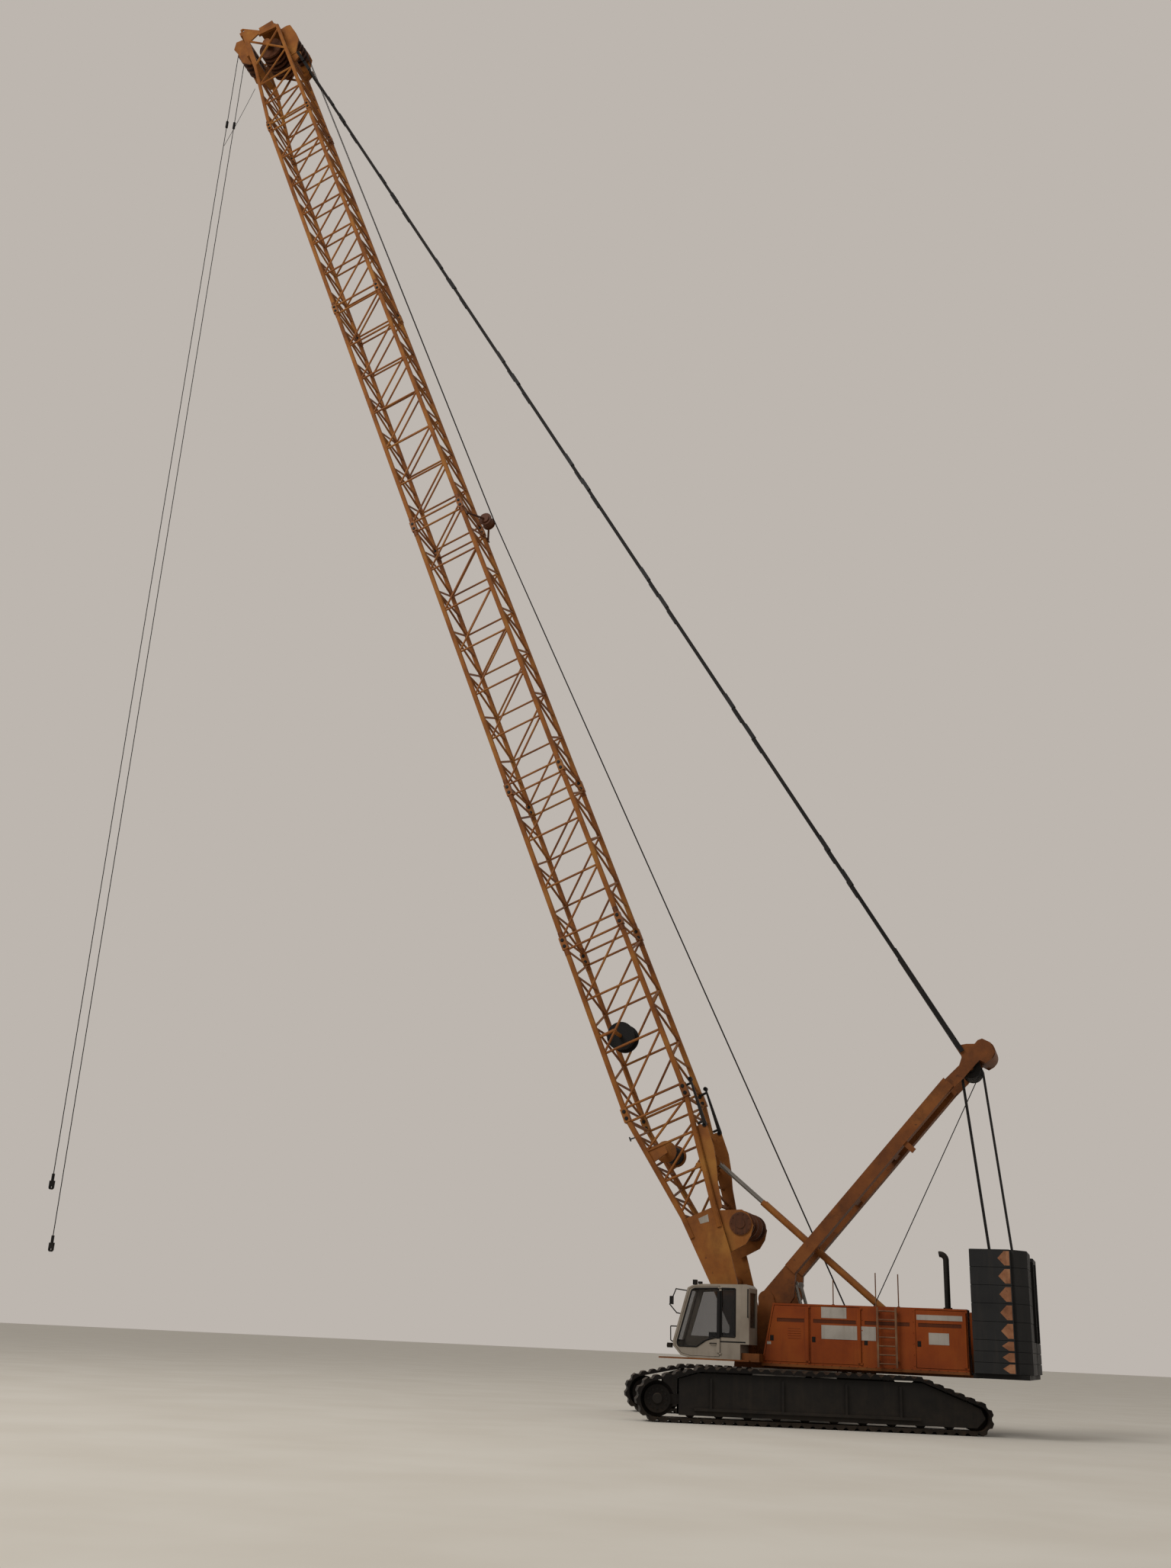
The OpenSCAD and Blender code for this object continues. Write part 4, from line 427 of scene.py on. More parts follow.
def addStraps(settings):
    shapes = []
    for side in (-1, 1):
        (s0, d0), (s1, d1) = settings["lows"], settings["highs"]
        y = side * settings["side"]
        half = settings["width"] / 2
        outline = [boomPoint(s0, y - half, d0), boomPoint(s1, y - half, d1),
                   boomPoint(s1, y - half, d1 + settings["depth"]),
                   boomPoint(s0, y - half, d0 + settings["footDepth"])]
        shapes.append(plateShape(outline, (0, 2 * half / 1000, 0)))
        for s, d in ((s1, d1 + 12), (s0, d0 + 20)):
            centre = boomPoint(s, y, d)
            r, reach = settings["endRadius"] / 1000, settings["endHalf"]
            shapes.append(turnedShape(centre, [(0.001, -reach), (r, -reach), (r, reach), (0.001, reach)], 20))
        for s, d in ((s0 + settings["legInset"], d0 + 10), (s1 - settings["legInset"], d1 + 10)):
            shapes.append(tubeShape([boomPoint(s, y, d), boomPoint(s, y, settings["legFoot"])],
                                    settings["legRadius"], 8))
    piece = addPiece("boomStraps", shapes, "castDark", bevel=0.002)
    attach(piece, "boom")


addStraps(strapSettings)

hookBarSettings = {"foot": 3296, "tip": 3308, "side": -455, "start": -455, "end": -585, "radius": 11,
                   "cross": 34}


def addHookBar(settings):
    tip, y, end, cross = (settings[k] for k in ("tip", "side", "end", "cross"))
    radius = settings["radius"] / 1000
    stem = [boomPoint(settings["foot"], y, settings["start"]), boomPoint(tip, y, end)]
    crossbar = [boomPoint(tip - cross, y, end), boomPoint(tip + cross, y, end)]
    shapes = [tubeShape(stem, radius, 10), tubeShape(crossbar, radius, 10)]
    piece = addPiece("hookBar", shapes, "castDark", smooth=True)
    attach(piece, "boom")


addHookBar(hookBarSettings)

# a bare plate where the real one is lettered, on the near foot plate's outer face
labelSettings = {"outline": [(1802, 3), (1807, 162), (1702, 140), (1720, 6)], "face": -545, "thickness": 3}


def addLabel(settings):
    outline = [boomPoint(s, settings["face"] + 0.5, d) for s, d in settings["outline"]]
    piece = addPiece("footPlateLabel", [plateShape(outline, (0, -settings["thickness"] / 1000, 0))],
                     "paleSheet", bevel=0.001)
    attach(piece, "boom")


addLabel(labelSettings)

# pins through the lugs where two sections meet, with keeper rings, on all four chords
pinSettings = {"joints": [3650, 6650, 9650, 15650, 21650, 27650], "chordY": 530, "chordD": 500, "radius": 24,
               "reach": 66, "shifts": (-55, 55)}


def pinShape(radius, reach):
    rim, outer, inner = radius * 1.25, reach - 0.008, reach - 0.014
    half = [(radius, inner), (rim, inner), (rim, outer), (radius, outer), (radius, reach), (0.0005, reach)]
    return turnedShape((0, 0, 0), [(r, -out) for r, out in reversed(half)] + half, 20)


def addSectionPins(settings):
    points = [boomPoint(s + shift, y * settings["chordY"], d * settings["chordD"])
              for s in settings["joints"] for shift in settings["shifts"] for y in (-1, 1) for d in (-1, 1)]
    piece = addRepeats("sectionPins", pinShape(settings["radius"] / 1000, settings["reach"] / 1000), points,
                       "castDark")
    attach(piece, "boom")


addSectionPins(pinSettings)

# dark grease and worn paint on the lugs: sleeves round the chords beside each joint
sleeveSettings = {"length": 95, "radius": 47, "from": 112}


def addSleeves(settings):
    shapes = []
    length, gap = settings["length"], settings["from"]
    for s in pinSettings["joints"][1:]:
        for side in (-1, 1):
            for back in (-1, 1):
                y, d = side * pinSettings["chordY"], back * pinSettings["chordD"]
                for start in (s + gap, s - gap - length):
                    ends = [boomPoint(start, y, d), boomPoint(start + length, y, d)]
                    shapes.append(tubeShape(ends, settings["radius"] / 1000, 16))
    piece = addPiece("chordSleeves", shapes, "mastPaint", smooth=True)
    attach(piece, "boom")


addSleeves(sleeveSettings)

# greasy covers with their bolts on the ends of the boom winch
coverSettings = {"along": 1510, "back": 560, "face": 496, "radius": 164, "boltCircle": 138, "bolts": 10,
                 "boltRadius": 9, "rimShare": 0.9, "hubShare": 0.42, "rimOut": 0.007,
                 "plateOut": 0.009, "hubOut": 0.022, "boltFoot": 0.006, "boltOut": 0.018}


def addWinchCovers(settings):
    shapes = []
    rim, hub = settings["radius"] / 1000, settings["radius"] * settings["hubShare"] / 1000
    rimOut, plateOut, hubOut = (settings[k] for k in ("rimOut", "plateOut", "hubOut"))
    outward = [(0.001, -0.001), (rim, -0.001), (rim, rimOut), (rim * settings["rimShare"], plateOut),
               (hub, plateOut), (hub, hubOut), (0.001, hubOut)]
    bolt, foot, head = settings["boltRadius"] / 1000, settings["boltFoot"], settings["boltOut"]
    boltProfile = [(0.0005, foot), (bolt, foot), (bolt, head), (0.0005, head)]
    for side in (-1, 1):
        centre = boomPoint(settings["along"], side * settings["face"], settings["back"])
        shapes.append(turnedShape(centre, [(r, side * out) for r, out in outward], 36))
        for k in range(settings["bolts"]):
            a = 2 * math.pi * k / settings["bolts"]
            place = centre + Vector((math.cos(a), 0, math.sin(a))) * settings["boltCircle"] / 1000
            shapes.append(turnedShape(place, [(r, side * out) for r, out in boltProfile], 6))
    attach(addPiece("boomWinchCovers", shapes, "sheaveBrown"), "boom")


addWinchCovers(coverSettings)

# ropes wound on the drums, one ridge a turn
windings = [
    {"name": "luffRopeTurns", "body": "luff_drum", "frame": machinePoint, "place": (2150, 0, 1180),
     "radius": 151, "half": 272, "pitch": 20, "layer": 26},
    {"name": "hoistRopeTurns", "body": "hoist_drum", "frame": machinePoint, "place": (760, 0, 1120),
     "radius": 151, "half": 272, "pitch": 20, "layer": 26},
    {"name": "boomRopeTurnsLeft", "body": "boom_drum", "frame": boomPoint, "place": (1510, -272.5, 560),
     "radius": 121, "half": 99, "pitch": 20, "layer": 30},
    {"name": "boomRopeTurnsRight", "body": "boom_drum", "frame": boomPoint, "place": (1510, 272.5, 560),
     "radius": 121, "half": 99, "pitch": 20, "layer": 30},
    {"name": "tagRopeTurns", "body": "tag_drum", "frame": boomPoint, "place": (2950, 0, -160), "radius": 111,
     "half": 272, "pitch": 16, "layer": 22},
    {"name": "reelCableTurns", "body": "reel", "frame": boomPoint, "place": (4970, 0, -235), "radius": 91,
     "half": 128, "pitch": 18, "layer": 90},
]


# places across one turn, as shares of the pitch, and how far the rope bulges there
turnRounding = ((0.08, 0.45), (0.3, 0.9), (0.5, 1.0), (0.7, 0.9), (0.92, 0.45))
ridgeShare = 0.35


def addWinding(settings):
    base, half, pitch = settings["radius"] / 1000, settings["half"] / 1000, settings["pitch"] / 1000
    full = base + settings["layer"] / 1000
    turns = int(2 * half / pitch)
    profile = [(base, -half)]
    for k in range(turns):
        start = -half + k * 2 * half / turns
        for part, lift in turnRounding:
            profile.append((full - pitch * ridgeShare + pitch * ridgeShare * lift,
                            start + part * 2 * half / turns))
    profile.append((base, half))
    piece = addPiece(settings["name"], [turnedShape(settings["frame"](*settings["place"]), profile, 40)],
                     "ropeSteel", smooth=True)
    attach(piece, settings["body"])


for settings in windings:
    addWinding(settings)
print("boom trim and rope turns made")


# ropes between the machine, the boom and the mast: each is one tube with a ring at either end and none between,
# so it stays straight when its ends ride on two bodies

ropeRadius = 0.007
ropeSettings = {
    "guide": (15390, 765), "guideRadius": 125, "backSheave": (30280, 610), "sheaveRadius": 200,
    "hoistWinch": (760, 1120), "drumRadius": 176,
    "mastSheave": (4470, -75), "block": (3060, 1420), "tackleRadius": 150, "rows": [-180, -90, 0, 90, 180],
    "grooves": (-30, 30), "headSpread": 2, "leadLow": -240, "leadHigh": -225, "tackleLift": 0.6,
    "tackleRope": 1.15,
}


# where a rope leaves a wheel of radius r at centre for a place, on the side given by sense
def leavingPoint(centre, r, place, sense):
    ahead = place - centre
    flat = math.hypot(ahead.x, ahead.z)
    turn = sense * math.acos(r / flat)
    angle = math.atan2(ahead.z, ahead.x) + turn
    return Vector((centre.x + r * math.cos(angle), centre.y, centre.z + r * math.sin(angle)))


# two hoist ropes from the winch on the deck, side by side over the guide to the head's back sheaves
def addBoomRopes(settings):
    for y in settings["grooves"]:
        guide = boomPoint(settings["guide"][0], y, settings["guide"][1])
        top = boomPoint(settings["backSheave"][0], y * settings["headSpread"], settings["backSheave"][1])
        rim = settings["guideRadius"] / 1000 + ropeRadius
        wheel = settings["sheaveRadius"] / 1000 + ropeRadius
        ends = [leavingPoint(guide, rim, top, -1), leavingPoint(top, wheel, guide, 1)]
        upper = tubeShape(ends, ropeRadius, 8)
        name = "Left" if y < 0 else "Right"
        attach(addPiece("hoistRopeUpper" + name, [upper], "ropeSteel", smooth=True), "boom")
        winch = machinePoint(settings["hoistWinch"][0], y, settings["hoistWinch"][1])
        start = leavingPoint(winch, settings["drumRadius"] / 1000, guide, -1)
        end = leavingPoint(guide, rim, winch, 1)
        lower = addPiece("hoistRopeLower" + name, [tubeShape([start, end], ropeRadius, 8)], "ropeSteel",
                         smooth=True)
        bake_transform(lower)


def addTackle(settings):
    blockX, blockZ = settings["block"]
    along, up = settings["mastSheave"]
    r = settings["tackleRadius"] / 1000 + ropeRadius * settings["tackleLift"]
    for sense, name in ((-1, "Front"), (1, "Rear")):
        shapes = []
        for y in settings["rows"]:
            low, high = machinePoint(blockX, y, blockZ), mastPoint(along, y, up)
            ends = [leavingPoint(low, r, high, -sense), leavingPoint(high, r, low, sense)]
            shapes.append(tubeShape(ends, ropeRadius * settings["tackleRope"], 8))
        piece = addPiece("luffRopes" + name, shapes, "ropeSteel", smooth=True)
        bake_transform(piece)
    winch = machinePoint(settings["hoistWinch"][0], settings["leadLow"], settings["hoistWinch"][1])
    high = mastPoint(along, settings["leadHigh"], up)
    start = leavingPoint(winch, settings["drumRadius"] / 1000, high, -1)
    end = leavingPoint(high, r, winch, 1)
    lead = addPiece("luffRopeLead", [tubeShape([start, end], ropeRadius, 8)], "ropeSteel", smooth=True)
    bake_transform(lead)


addBoomRopes(ropeSettings)
addTackle(ropeSettings)

# the line that carries the limit weight, from the head's foot to the rope
limitLineSettings = {"start": (29100, -530, -520), "drop": 1210, "radius": 5, "endX": 0.06, "endY": -0.26,
                     "sag": 0.18, "steps": 12}


def addLimitLine(settings):
    start = boomPoint(*settings["start"])
    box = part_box("hoist_ropes")
    end = Vector((box[0].x + settings["endX"], settings["endY"], start.z - settings["drop"] / 1000))
    points = []
    for k in range(settings["steps"] + 1):
        t = k / settings["steps"]
        points.append(start.lerp(end, t) - Vector((0, 0, settings["sag"] * t * (1 - t))))
    piece = addPiece("limitWeightLine", [tubeShape(points, settings["radius"] / 1000, 8)], "blackRubber",
                     smooth=True)
    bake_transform(piece)


addLimitLine(limitLineSettings)
print("ropes made")


# ballast: worn corner paint on the outer faces of the slabs

slabSettings = {"front": 2635, "length": 730, "side": 1375, "chamferX": 200, "bottom": 775.5, "thin": 138,
                "thinCount": 3, "thick": 227, "thickCount": 5, "markTip": 165, "markShoulder": 80,
                "markEdge": 12, "markShare": 0.4, "proud": 1.5, "sunk": 3}


# the pointed patch beside the cut corner of one slab
def cornerMark(settings, low, height, side):
    rear = settings["front"] + settings["length"] - settings["chamferX"]
    mid, reach = low + height / 2, height * settings["markShare"]
    face, back = side * (settings["side"] + settings["proud"]), side * (settings["side"] - settings["sunk"])
    tip, shoulder, edge = (rear - settings[k] for k in ("markTip", "markShoulder", "markEdge"))
    mark = [(tip, mid), (shoulder, mid - reach), (edge, mid - reach), (edge, mid + reach),
            (shoulder, mid + reach)]
    return plateShape([machinePoint(x, face, z) for x, z in mark], (0, (back - face) / 1000, 0))


def addCornerMarks(settings):
    levels = [(settings["bottom"] + k * settings["thin"], settings["thin"])
              for k in range(settings["thinCount"])]
    top = settings["bottom"] + settings["thinCount"] * settings["thin"]
    levels += [(top + k * settings["thick"], settings["thick"]) for k in range(settings["thickCount"])]
    for side, name in ((-1, "Left"), (1, "Right")):
        shapes = [cornerMark(settings, low, height, side) for low, height in levels]
        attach(addPiece("cornerMarks" + name, shapes, "cornerPaint", bevel=0.001), "superstructure")


addCornerMarks(slabSettings)


# housing: bare plates on the cab side, where the real ones are lettered

housingFace = -825
rivetInset = 14
rivetProfile = [(0.0003, -0.002), (0.004, -0.001), (0.005, 0.001), (0.0003, 0.001)]
plates = [
    {"name": "doorPlateRear", "body": "door_left_rear", "x": (2005, 2275), "z": (1105, 1255), "thickness": 3},
    {"name": "doorStripRear", "body": "door_left_rear", "x": (1850, 2480), "z": (1415, 1482), "thickness": 3},
    {"name": "doorPlateFront", "body": "door_left_front", "x": (-222, -166), "z": (1024, 1060), "thickness": 3},
    {"name": "doorPlateUpper", "body": "door_left_middle", "x": (545, 895), "z": (1395, 1538), "thickness": 3},
    {"name": "doorPlateWide", "body": "door_left_middle", "x": (545, 1070), "z": (1122, 1303), "thickness": 4},
    {"name": "panelPlateWide", "body": "superstructure", "x": (1096, 1295), "z": (1122, 1303), "thickness": 4},
]


# a plate from x to x and from z to z on the face at y, pushed out across it
def sidePlate(x0, x1, z0, z1, y, push):
    outline = [machinePoint(x, y, z) for x, z in ((x0, z0), (x1, z0), (x1, z1), (x0, z1))]
    return plateShape(outline, (0, push, 0))


def addSidePlate(settings):
    (x0, x1), (z0, z1) = settings["x"], settings["z"]
    face = housingFace + 1
    shapes = [sidePlate(x0, x1, z0, z1, face, -(settings["thickness"] + 1) / 1000)]
    # a rivet in each corner
    for x in (x0 + rivetInset, x1 - rivetInset):
        for z in (z0 + rivetInset, z1 - rivetInset):
            shapes.append(turnedShape(machinePoint(x, face - settings["thickness"] - 1, z), rivetProfile, 10))
    piece = addPiece(settings["name"], shapes, "paleSheet", bevel=0.0005)
    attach(piece, settings["body"])


for settings in plates:
    addSidePlate(settings)

# latches in their recesses and a dark lining of painted shade in the grooves, on each door and on the fixed
# panel
latchSettings = {"size": (46, 69), "depth": 6, "grooveZ": (1327, 1374), "face": 823.5, "leverFace": 827,
                 "leverX": (14, 32), "leverInset": 10, "liningFace": 818.2, "liningDepth": 0.001}
panels = [
    {"name": "DoorFront", "left": "door_left_front", "right": "door_right_front", "latch": (-176, 1073.5),
     "groove": (-115, 305)},
    {"name": "DoorMiddle", "left": "door_left_middle", "right": "door_right_middle", "latch": (413, 1073.5),
     "groove": (430, 1025)},
    {"name": "DoorRear", "left": "door_left_rear", "right": "door_right_rear", "latch": (1853, 1073.5),
     "groove": (1870, 2445)},
    {"name": "Panel", "left": "superstructure", "right": "superstructure", "latch": (1133, 1063.5),
     "groove": (1146, 1754)},
]


def addPanelTrim(settings, panel):
    (x, z), (g0, g1) = panel["latch"], panel["groove"]
    w, h = settings["size"]
    l0, l1 = settings["leverX"]
    low, high = settings["grooveZ"]
    inset = settings["leverInset"]
    for sign, side in ((-1, "left"), (1, "right")):
        name = panel["name"] + side.title()
        push = -sign * settings["depth"] / 1000
        body = sidePlate(x, x + w, z, z + h, sign * settings["face"], push)
        lever = sidePlate(x + l0, x + l1, z + inset, z + (h - inset), sign * settings["leverFace"], push)
        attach(addPiece("latch" + name, [body, lever], "castDark", bevel=0.0015), panel[side])
        # a dark plate set into each groove: painted shade
        lining = sidePlate(g0, g1, low, high, sign * settings["liningFace"], -sign * settings["liningDepth"])
        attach(addPiece("groove" + name, [lining], "grooveShadePaint"), panel[side])


for panel in panels:
    addPanelTrim(latchSettings, panel)

# bolts along the foot of both housings and round the fixed panel
boltSettings = {"radius": 9, "height": 7, "step": 120, "z": 787, "from": -280, "to": 2500,
                "panelX": (1108, 1802), "panelZ": (830, 1540), "panelStep": 140}


def boltShape(radius, height, sides=6):
    return turnedShape((0, 0, 0), [(0.0005, -height), (radius * 0.8, -height), (radius, -height * 0.8),
                                   (radius, 0.002), (0.0005, 0.002)], sides)


def addHousingBolts(settings):
    count = int((settings["to"] - settings["from"]) / settings["step"])
    points = [machinePoint(settings["from"] + k * settings["step"], housingFace, settings["z"])
              for k in range(count + 1)]
    points += [machinePoint(x, housingFace, z) for x in settings["panelX"]
               for z in range(*settings["panelZ"], settings["panelStep"])]
    bolt = boltShape(settings["radius"] / 1000, settings["height"] / 1000)
    piece = addRepeats("housingBolts", bolt, points, "housingPaint", 0.05, 11)
    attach(piece, "superstructure")
    mirrored = [Vector((p.x, -p.y, p.z)) for p in points]
    flipped = ([Vector((c.x, -c.y, c.z)) for c in bolt[0]], [tuple(reversed(f)) for f in bolt[1]])
    piece = addRepeats("housingBoltsFar", flipped, mirrored, "housingPaint", 0.05, 12)
    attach(piece, "superstructure")


addHousingBolts(boltSettings)


# cab: rubber round the panes, door handle, mirror rim and lamp glasses

cabSettings = {"front": -1490, "bottom": 800.5, "top": 1790.5, "side": -1170, "doorEdge": -825, "rear": -400,
               "gasket": 11, "hingeOut": 14, "hingeShift": 6, "hingeCover": 3.5, "sleeveRadius": 12.5,
               "sleeveLow": 262, "sleeveHigh": 97, "paneLow": 280, "paneHigh": 62, "seam": 0.003}


def doorWindowOutline(settings):
    x, z, top, edge = settings["front"], settings["bottom"], settings["top"], settings["doorEdge"]
    low, high = z + settings["paneLow"], top - settings["paneHigh"]
    return [(x + 90, z + 148), (x + 340, z + 148), (x + 480, z + 240), (x + 615, low), (edge - 25, low),
            (edge - 25, high), (x + 305, top - 74), (x + 262, top - 98), (x + 64, z + 212), (x + 64, z + 174)]


def rearWindowOutline(settings):
    z, top, edge, rear = settings["bottom"], settings["top"], settings["doorEdge"], settings["rear"]
    return [(edge + 30, z + 295), (rear - 200, z + 295), (rear - 200, top - 62), (edge + 30, top - 62)]


def addGasket(name, outline, settings, body):
    ring = [machinePoint(x, settings["side"] - 2, z) for x, z in outline]
    ring.append(ring[0])
    shapes = [tubeShape([a, b], settings["gasket"] / 1000, 10) for a, b in zip(ring, ring[1:])]
    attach(addPiece(name, shapes, "blackRubber", smooth=True), body)


addGasket("doorGasket", doorWindowOutline(cabSettings), cabSettings, "cab_door")
addGasket("sideGasket", rearWindowOutline(cabSettings), cabSettings, "superstructure")


# a black band between the panes, a sleeve on the door's hinge and the rubber strip under the rear pane
def addCabSeams(settings):
    edge, side, bottom, top, rear = (settings[k] for k in ("doorEdge", "side", "bottom", "top", "rear"))
    low, high = bottom + settings["paneLow"], top - settings["paneHigh"]
    sleeve = (bottom + settings["sleeveLow"], top - settings["sleeveHigh"])
    hingeFace = side - settings["hingeOut"] - settings["hingeCover"]
    # each strip from x to x, from z to z, on the face at y
    strips = {"Door": [(edge - 27, edge - 3, low, high, side + 1), (edge - 31, edge + 1, *sleeve, hingeFace)],
              "Side": [(edge + 2, edge + 32, low, high, side + 1),
                       (edge + 14, rear - 50, bottom + 218, bottom + 236, side + 1)]}
    bodies = {"Door": "cab_door", "Side": "superstructure"}
    for name, places in strips.items():
        shapes = [sidePlate(*place, -settings["seam"]) for place in places]
        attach(addPiece("cabSeams" + name, shapes, "blackRubber"), bodies[name])
    hinge = [machinePoint(edge + settings["hingeShift"], side - settings["hingeOut"], z) for z in sleeve]
    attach(addPiece("doorHingeSleeve", [tubeShape(hinge, settings["sleeveRadius"] / 1000, 16)], "blackRubber",
                     smooth=True), "cab_door")


addCabSeams(cabSettings)


trimSettings = {"handleFront": 130, "handleRear": 40, "handleHeight": 200, "handleOut": 24,
                "handleRadius": 0.007, "mirrorAhead": 49, "mirrorDrop": 240, "mirrorHigh": 48,
                "mirrorOuter": -25, "mirrorInner": 65, "mirrorRim": 0.006, "lampSides": 20, "lampGlass": 0.004,
                # ahead of the cab's front or behind it, y, above the bottom, radius
                "lamps": [(268, -1105, 1002, 24), (-85, -1155, 152, 26)]}


def addCabTrim(settings, cab):
    edge, side, bottom, top, front = (cab[k] for k in ("doorEdge", "side", "bottom", "top", "front"))
    x0, x1, z = edge - settings["handleFront"], edge - settings["handleRear"], bottom + settings["handleHeight"]
    outer = side - settings["handleOut"]
    handle = [machinePoint(x, y, z) for x, y in ((x0, side + 2), (x0, outer), (x1, outer), (x1, side + 2))]
    bar = addPiece("cabDoorHandle", [tubeShape(handle, settings["handleRadius"], 10)], "castDark", smooth=True)
    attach(bar, "cab_door")
    x, z, high = front - settings["mirrorAhead"], top - settings["mirrorDrop"], settings["mirrorHigh"]
    y0, y1 = side + settings["mirrorOuter"], side + settings["mirrorInner"]
    mirror = [machinePoint(x, y, v) for y, v in ((y0, z - high), (y1, z - high), (y1, z + high),
                                                 (y0, z + high))]
    rims = [tubeShape([a, b], settings["mirrorRim"], 8) for a, b in zip(mirror, mirror[1:] + mirror[:1])]
    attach(addPiece("mirrorRim", rims, "blackRubber", smooth=True), "superstructure")
    shapes = []
    for ahead, y, above, radius in settings["lamps"]:
        ring = []
        for k in range(settings["lampSides"]):
            a = 2 * math.pi * k / settings["lampSides"]
            ring.append(machinePoint(front + ahead + 0.5, y + radius * math.cos(a),
                                     bottom + above + radius * math.sin(a)))
        shapes.append(plateShape(ring, (-settings["lampGlass"], 0, 0)))
    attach(addPiece("lampGlasses", shapes, "paleSheet", bevel=0.001), "superstructure")


addCabTrim(trimSettings, cabSettings)
print("housing, cab and ballast trim made")


# crawlers: hub bolts and the pins of the track's links

crawlerSettings = {"gauge": 3000, "length": 4720, "idlerRadius": 285, "sprocketRadius": 215, "shoeHeight": 30,
                   "chain": 30, "shoeWidth": 500, "shoes": 68, "carrierRadius": 120, "carrierFront": -1480,
                   "carrierRear": 1400, "height": 700, "armOutside": 176, "pinOut": 0.006,
                   "pinRadius": 0.013, "pinEnd": 0.011, "pinTaper": 0.003}


# points along the middle of the chain, one a link, with the wheels taken anticlockwise
def chainPoints(settings, inward, count):
    length, height, shoe = (settings[k] for k in ("length", "height", "shoeHeight"))
    sprocket, carrier, idler = (settings[k + "Radius"] for k in ("sprocket", "carrier", "idler"))
    wheels = [(length / 2 - sprocket, sprocket, sprocket - shoe),
              (settings["carrierRear"], height - carrier, carrier - shoe),
              (settings["carrierFront"], height - carrier, carrier - shoe),
              (-length / 2 + idler, idler, idler - shoe)]
    normals, runs = [], []
    for i in range(4):
        a, b = wheels[i], wheels[(i + 1) % 4]
        dx, dz, dr = b[0] - a[0], b[1] - a[1], a[2] - b[2]
        normals.append(math.atan2(-dx, dz) + math.asin(dr / math.hypot(dx, dz)))
        runs.append(math.sqrt(dx * dx + dz * dz - dr * dr))
    parts = []
    for i in range(4):
        turn = (normals[i] - normals[i - 1]) % (2 * math.pi)
        parts.append(("arc", i, wheels[i][2] * turn))
        parts.append(("run", i, runs[i]))
    total = sum(p[2] for p in parts)
    points = []
    for k in range(count):
        t = total * k / count
        for kind, i, length in parts:
            if t <= length:
                break
            t -= length
        x, z, r = wheels[i]
        angle = normals[i - 1] + t / r if kind == "arc" else normals[i]
        along = 0 if kind == "arc" else t
        r -= inward
        points.append((x + r * math.cos(angle) - along * math.sin(angle),
                       z + r * math.sin(angle) + along * math.cos(angle)))
    return points


def addChainPins(settings):
    reach = settings["shoeWidth"] / 2000 + settings["pinOut"]
    links = chainPoints(settings, settings["chain"] / 2, settings["shoes"])
    points = [crawlerPoint(x, side * settings["gauge"] / 2, z) for side in (-1, 1) for x, z in links]
    rim, end, taper = settings["pinRadius"], settings["pinEnd"], settings["pinTaper"]
    shape = turnedShape((0, 0, 0), [(0.0005, -reach), (end, -reach), (rim, -reach + taper),
                                    (rim, reach - taper), (end, reach), (0.0005, reach)], 12)
    corners = [Matrix.Rotation(trackTurn, 3, "Z") @ c for c in shape[0]]
    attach(addRepeats("chainPins", (corners, shape[1]), points, "castDark"), "undercarriage")


addChainPins(crawlerSettings)

hubSettings = {"circle": 120, "count": 12, "radius": 14, "height": 12, "capRadius": 70, "capHeight": 24}


def addHubs(settings):
    idlerZ, circle = crawlerSettings["idlerRadius"], settings["circle"]
    idlerX = -crawlerSettings["length"] / 2 + idlerZ
    turn = Matrix.Rotation(trackTurn, 3, "Z")
    r, h = settings["capRadius"] / 1000, settings["capHeight"] / 1000
    cap = turnedShape((0, 0, 0), [(0.0005, -0.002), (r, -0.002), (r, h * 0.6), (r * 0.85, h), (0.0005, h)], 28)
    shapes, points = [], []
    for side in (-1, 1):
        for face in (-1, 1):
            y = side * crawlerSettings["gauge"] / 2 + face * crawlerSettings["armOutside"]
            for k in range(settings["count"]):
                a = 2 * math.pi * k / settings["count"]
                points.append(crawlerPoint(idlerX + circle * math.cos(a), y, idlerZ + circle * math.sin(a)))
            middle = crawlerPoint(idlerX, y, idlerZ)
            shapes.append(([turn @ Vector((c.x, c.y * face, c.z)) + middle for c in cap[0]], cap[1]))
    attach(addPiece("idlerCaps", shapes, "frameDark", smooth=True), "undercarriage")
    reach = settings["height"] / 1000
    bolt = turnedShape((0, 0, 0), [(0.0005, -reach), (settings["radius"] / 1000, -reach),
                                   (settings["radius"] / 1000, reach), (0.0005, reach)], 6)
    corners = [turn @ c for c in bolt[0]]
    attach(addRepeats("idlerBolts", (corners, bolt[1]), points, "castDark"), "undercarriage")


addHubs(hubSettings)
print("crawler details made")


# the camera stands where the photograph was taken from: eye height, looking up past the cab side
cameraSettings = {
    "place": (4.495, -22.58, 0.905),
    "heading": 19.7,
    "pitch": 20.75,
    "roll": 2.6,
    "lens": 33.95,
}


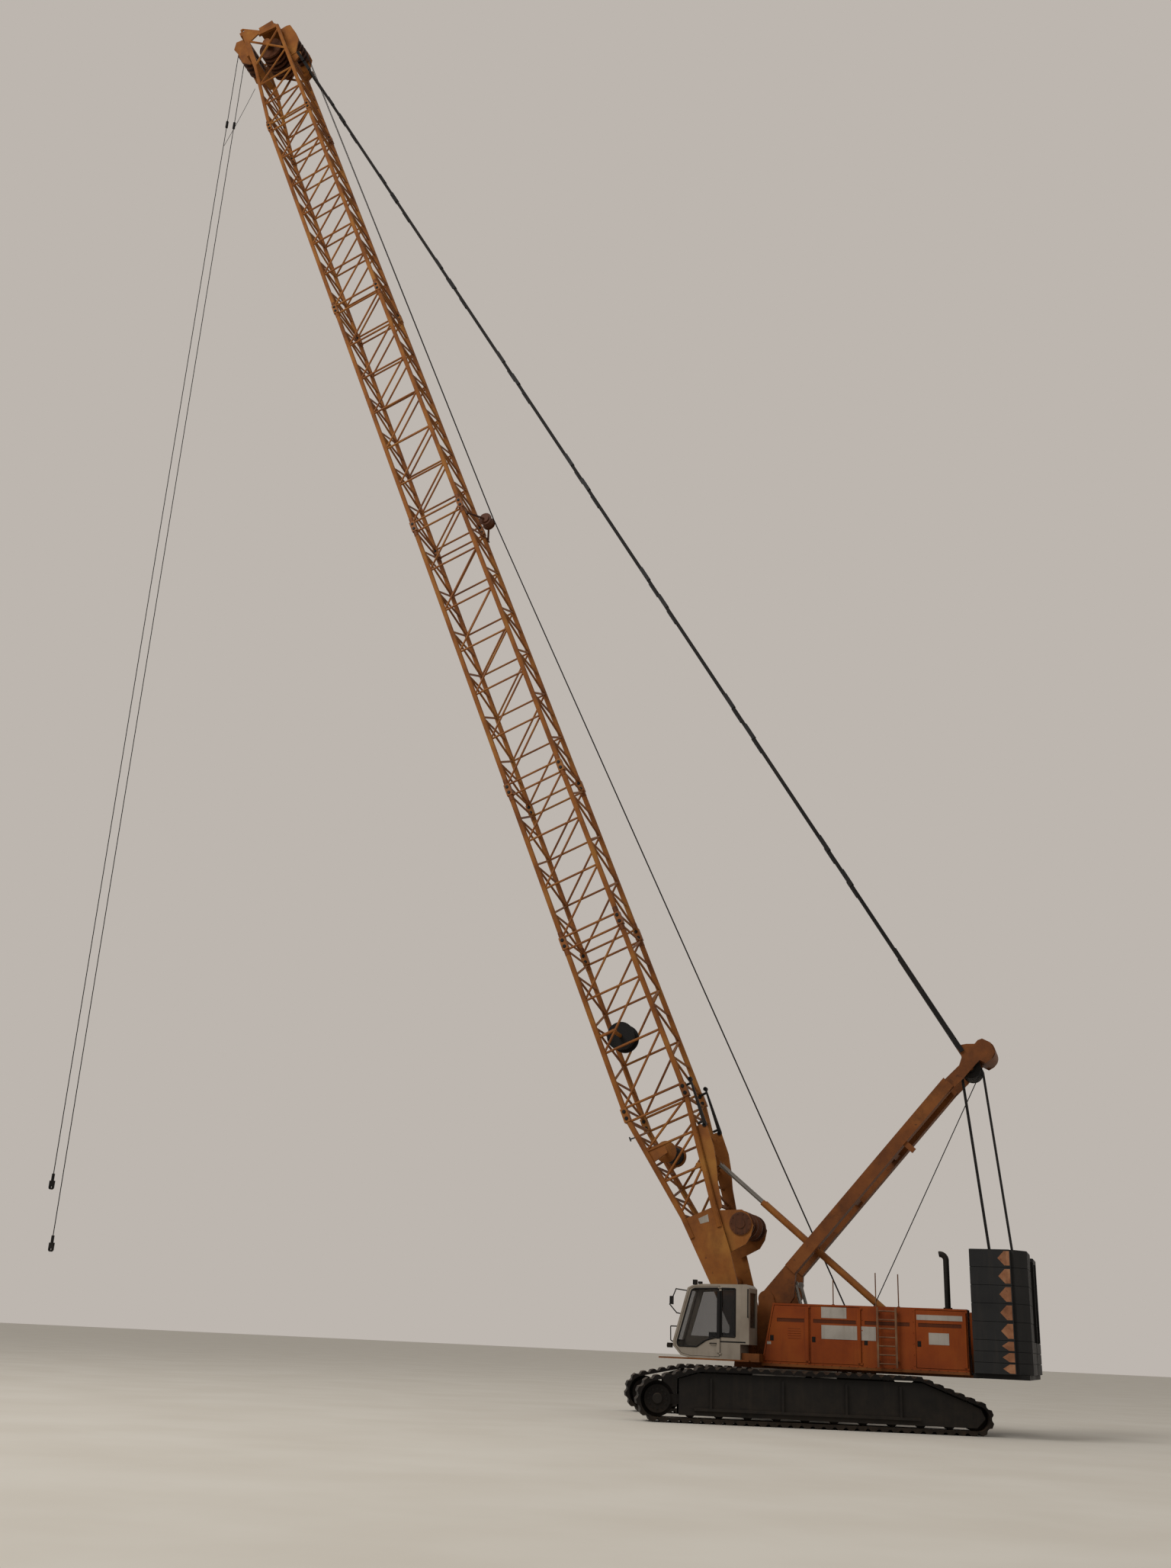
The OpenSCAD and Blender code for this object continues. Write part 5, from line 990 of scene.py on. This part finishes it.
def addCamera(settings):
    h, p, r = (math.radians(settings[k]) for k in ("heading", "pitch", "roll"))
    ahead = Vector((-math.sin(h) * math.cos(p), math.cos(h) * math.cos(p), math.sin(p)))
    right = Vector((math.cos(h), math.sin(h), 0))
    up = right.cross(ahead)
    tiltedRight = right * math.cos(r) + up * math.sin(r)
    tiltedUp = up * math.cos(r) - right * math.sin(r)
    data = bpy.data.cameras.new("photoCamera")
    data.lens = settings["lens"]
    data.sensor_width = 36
    data.clip_end = 500
    camera = bpy.data.objects.new("photoCamera", data)
    camera.matrix_world = Matrix((
        (tiltedRight.x, tiltedUp.x, -ahead.x, settings["place"][0]),
        (tiltedRight.y, tiltedUp.y, -ahead.y, settings["place"][1]),
        (tiltedRight.z, tiltedUp.z, -ahead.z, settings["place"][2]),
        (0, 0, 0, 1)))
    bpy.context.scene.collection.objects.link(camera)
    bpy.context.scene.camera = camera


addCamera(cameraSettings)

# pale floor, sky dome of plain light and one large soft lamp
stageSettings = {
    "floorHalf": 260.0,
    "floorColor": "#CFC8BC",
    "floorShade": "#C9C1B4",
    "shownColor": "#BDB6AF",
    "skyColor": "#E6E4E1",
    "skyLight": 0.62,
    "lampPlace": (-14, -24, 26),
    "lampSize": 16.0,
    "lampPower": 5200.0,
}


def addStage(settings):
    half = settings["floorHalf"]
    mesh = bpy.data.meshes.new("floor")
    mesh.from_pydata([(-half, -half, 0), (half, -half, 0), (half, half, 0), (-half, half, 0)], [],
                     [(0, 1, 2, 3)])
    floor = bpy.data.objects.new("floor", mesh)
    bpy.context.scene.collection.objects.link(floor)
    material, tree = emptyMaterial("plainFloor")
    grain = noiseFactor(tree, addNode(tree, "ShaderNodeTexCoord").outputs["Object"], 0.6, 5.0)
    color = colorSteps(tree, grain, [(0.35, linearColor(settings["floorShade"])),
                                     (0.65, linearColor(settings["floorColor"]))])
    shader = addNode(tree, "ShaderNodeBsdfPrincipled", {"Base Color": color, "Roughness": 0.9})
    addNode(tree, "ShaderNodeOutputMaterial", {"Surface": shader.outputs["BSDF"]})
    mesh.materials.append(material)
    world = bpy.data.worlds.new("softSky")
    bpy.context.scene.world = world
    world.use_nodes = True
    tree = world.node_tree
    tree.nodes.clear()
    seen = addNode(tree, "ShaderNodeLightPath")
    straight = combined(tree, "MAXIMUM", seen.outputs["Is Camera Ray"], seen.outputs["Is Transmission Ray"])
    anySeen = combined(tree, "MAXIMUM", straight, seen.outputs["Is Glossy Ray"])
    shown = addNode(tree, "ShaderNodeBackground", {"Color": linearColor(settings["shownColor"]),
                                                   "Strength": 1.0})
    light = addNode(tree, "ShaderNodeBackground", {"Color": linearColor(settings["skyColor"]),
                                                   "Strength": settings["skyLight"]})
    both = addNode(tree, "ShaderNodeMixShader", {0: anySeen, 1: light.outputs["Background"],
                                                 2: shown.outputs["Background"]})
    addNode(tree, "ShaderNodeOutputWorld", {"Surface": both.outputs["Shader"]})
    lamp = bpy.data.lights.new("softLamp", "AREA")
    lamp.size = settings["lampSize"]
    lamp.energy = settings["lampPower"]
    holder = bpy.data.objects.new("softLamp", lamp)
    holder.location = settings["lampPlace"]
    towards = Vector((0, 0, 6)) - Vector(settings["lampPlace"])
    holder.rotation_euler = towards.to_track_quat("-Z", "Y").to_euler()
    bpy.context.scene.collection.objects.link(holder)


addStage(stageSettings)
bpy.context.scene.view_settings.view_transform = "Standard"
print("camera, floor and light set")
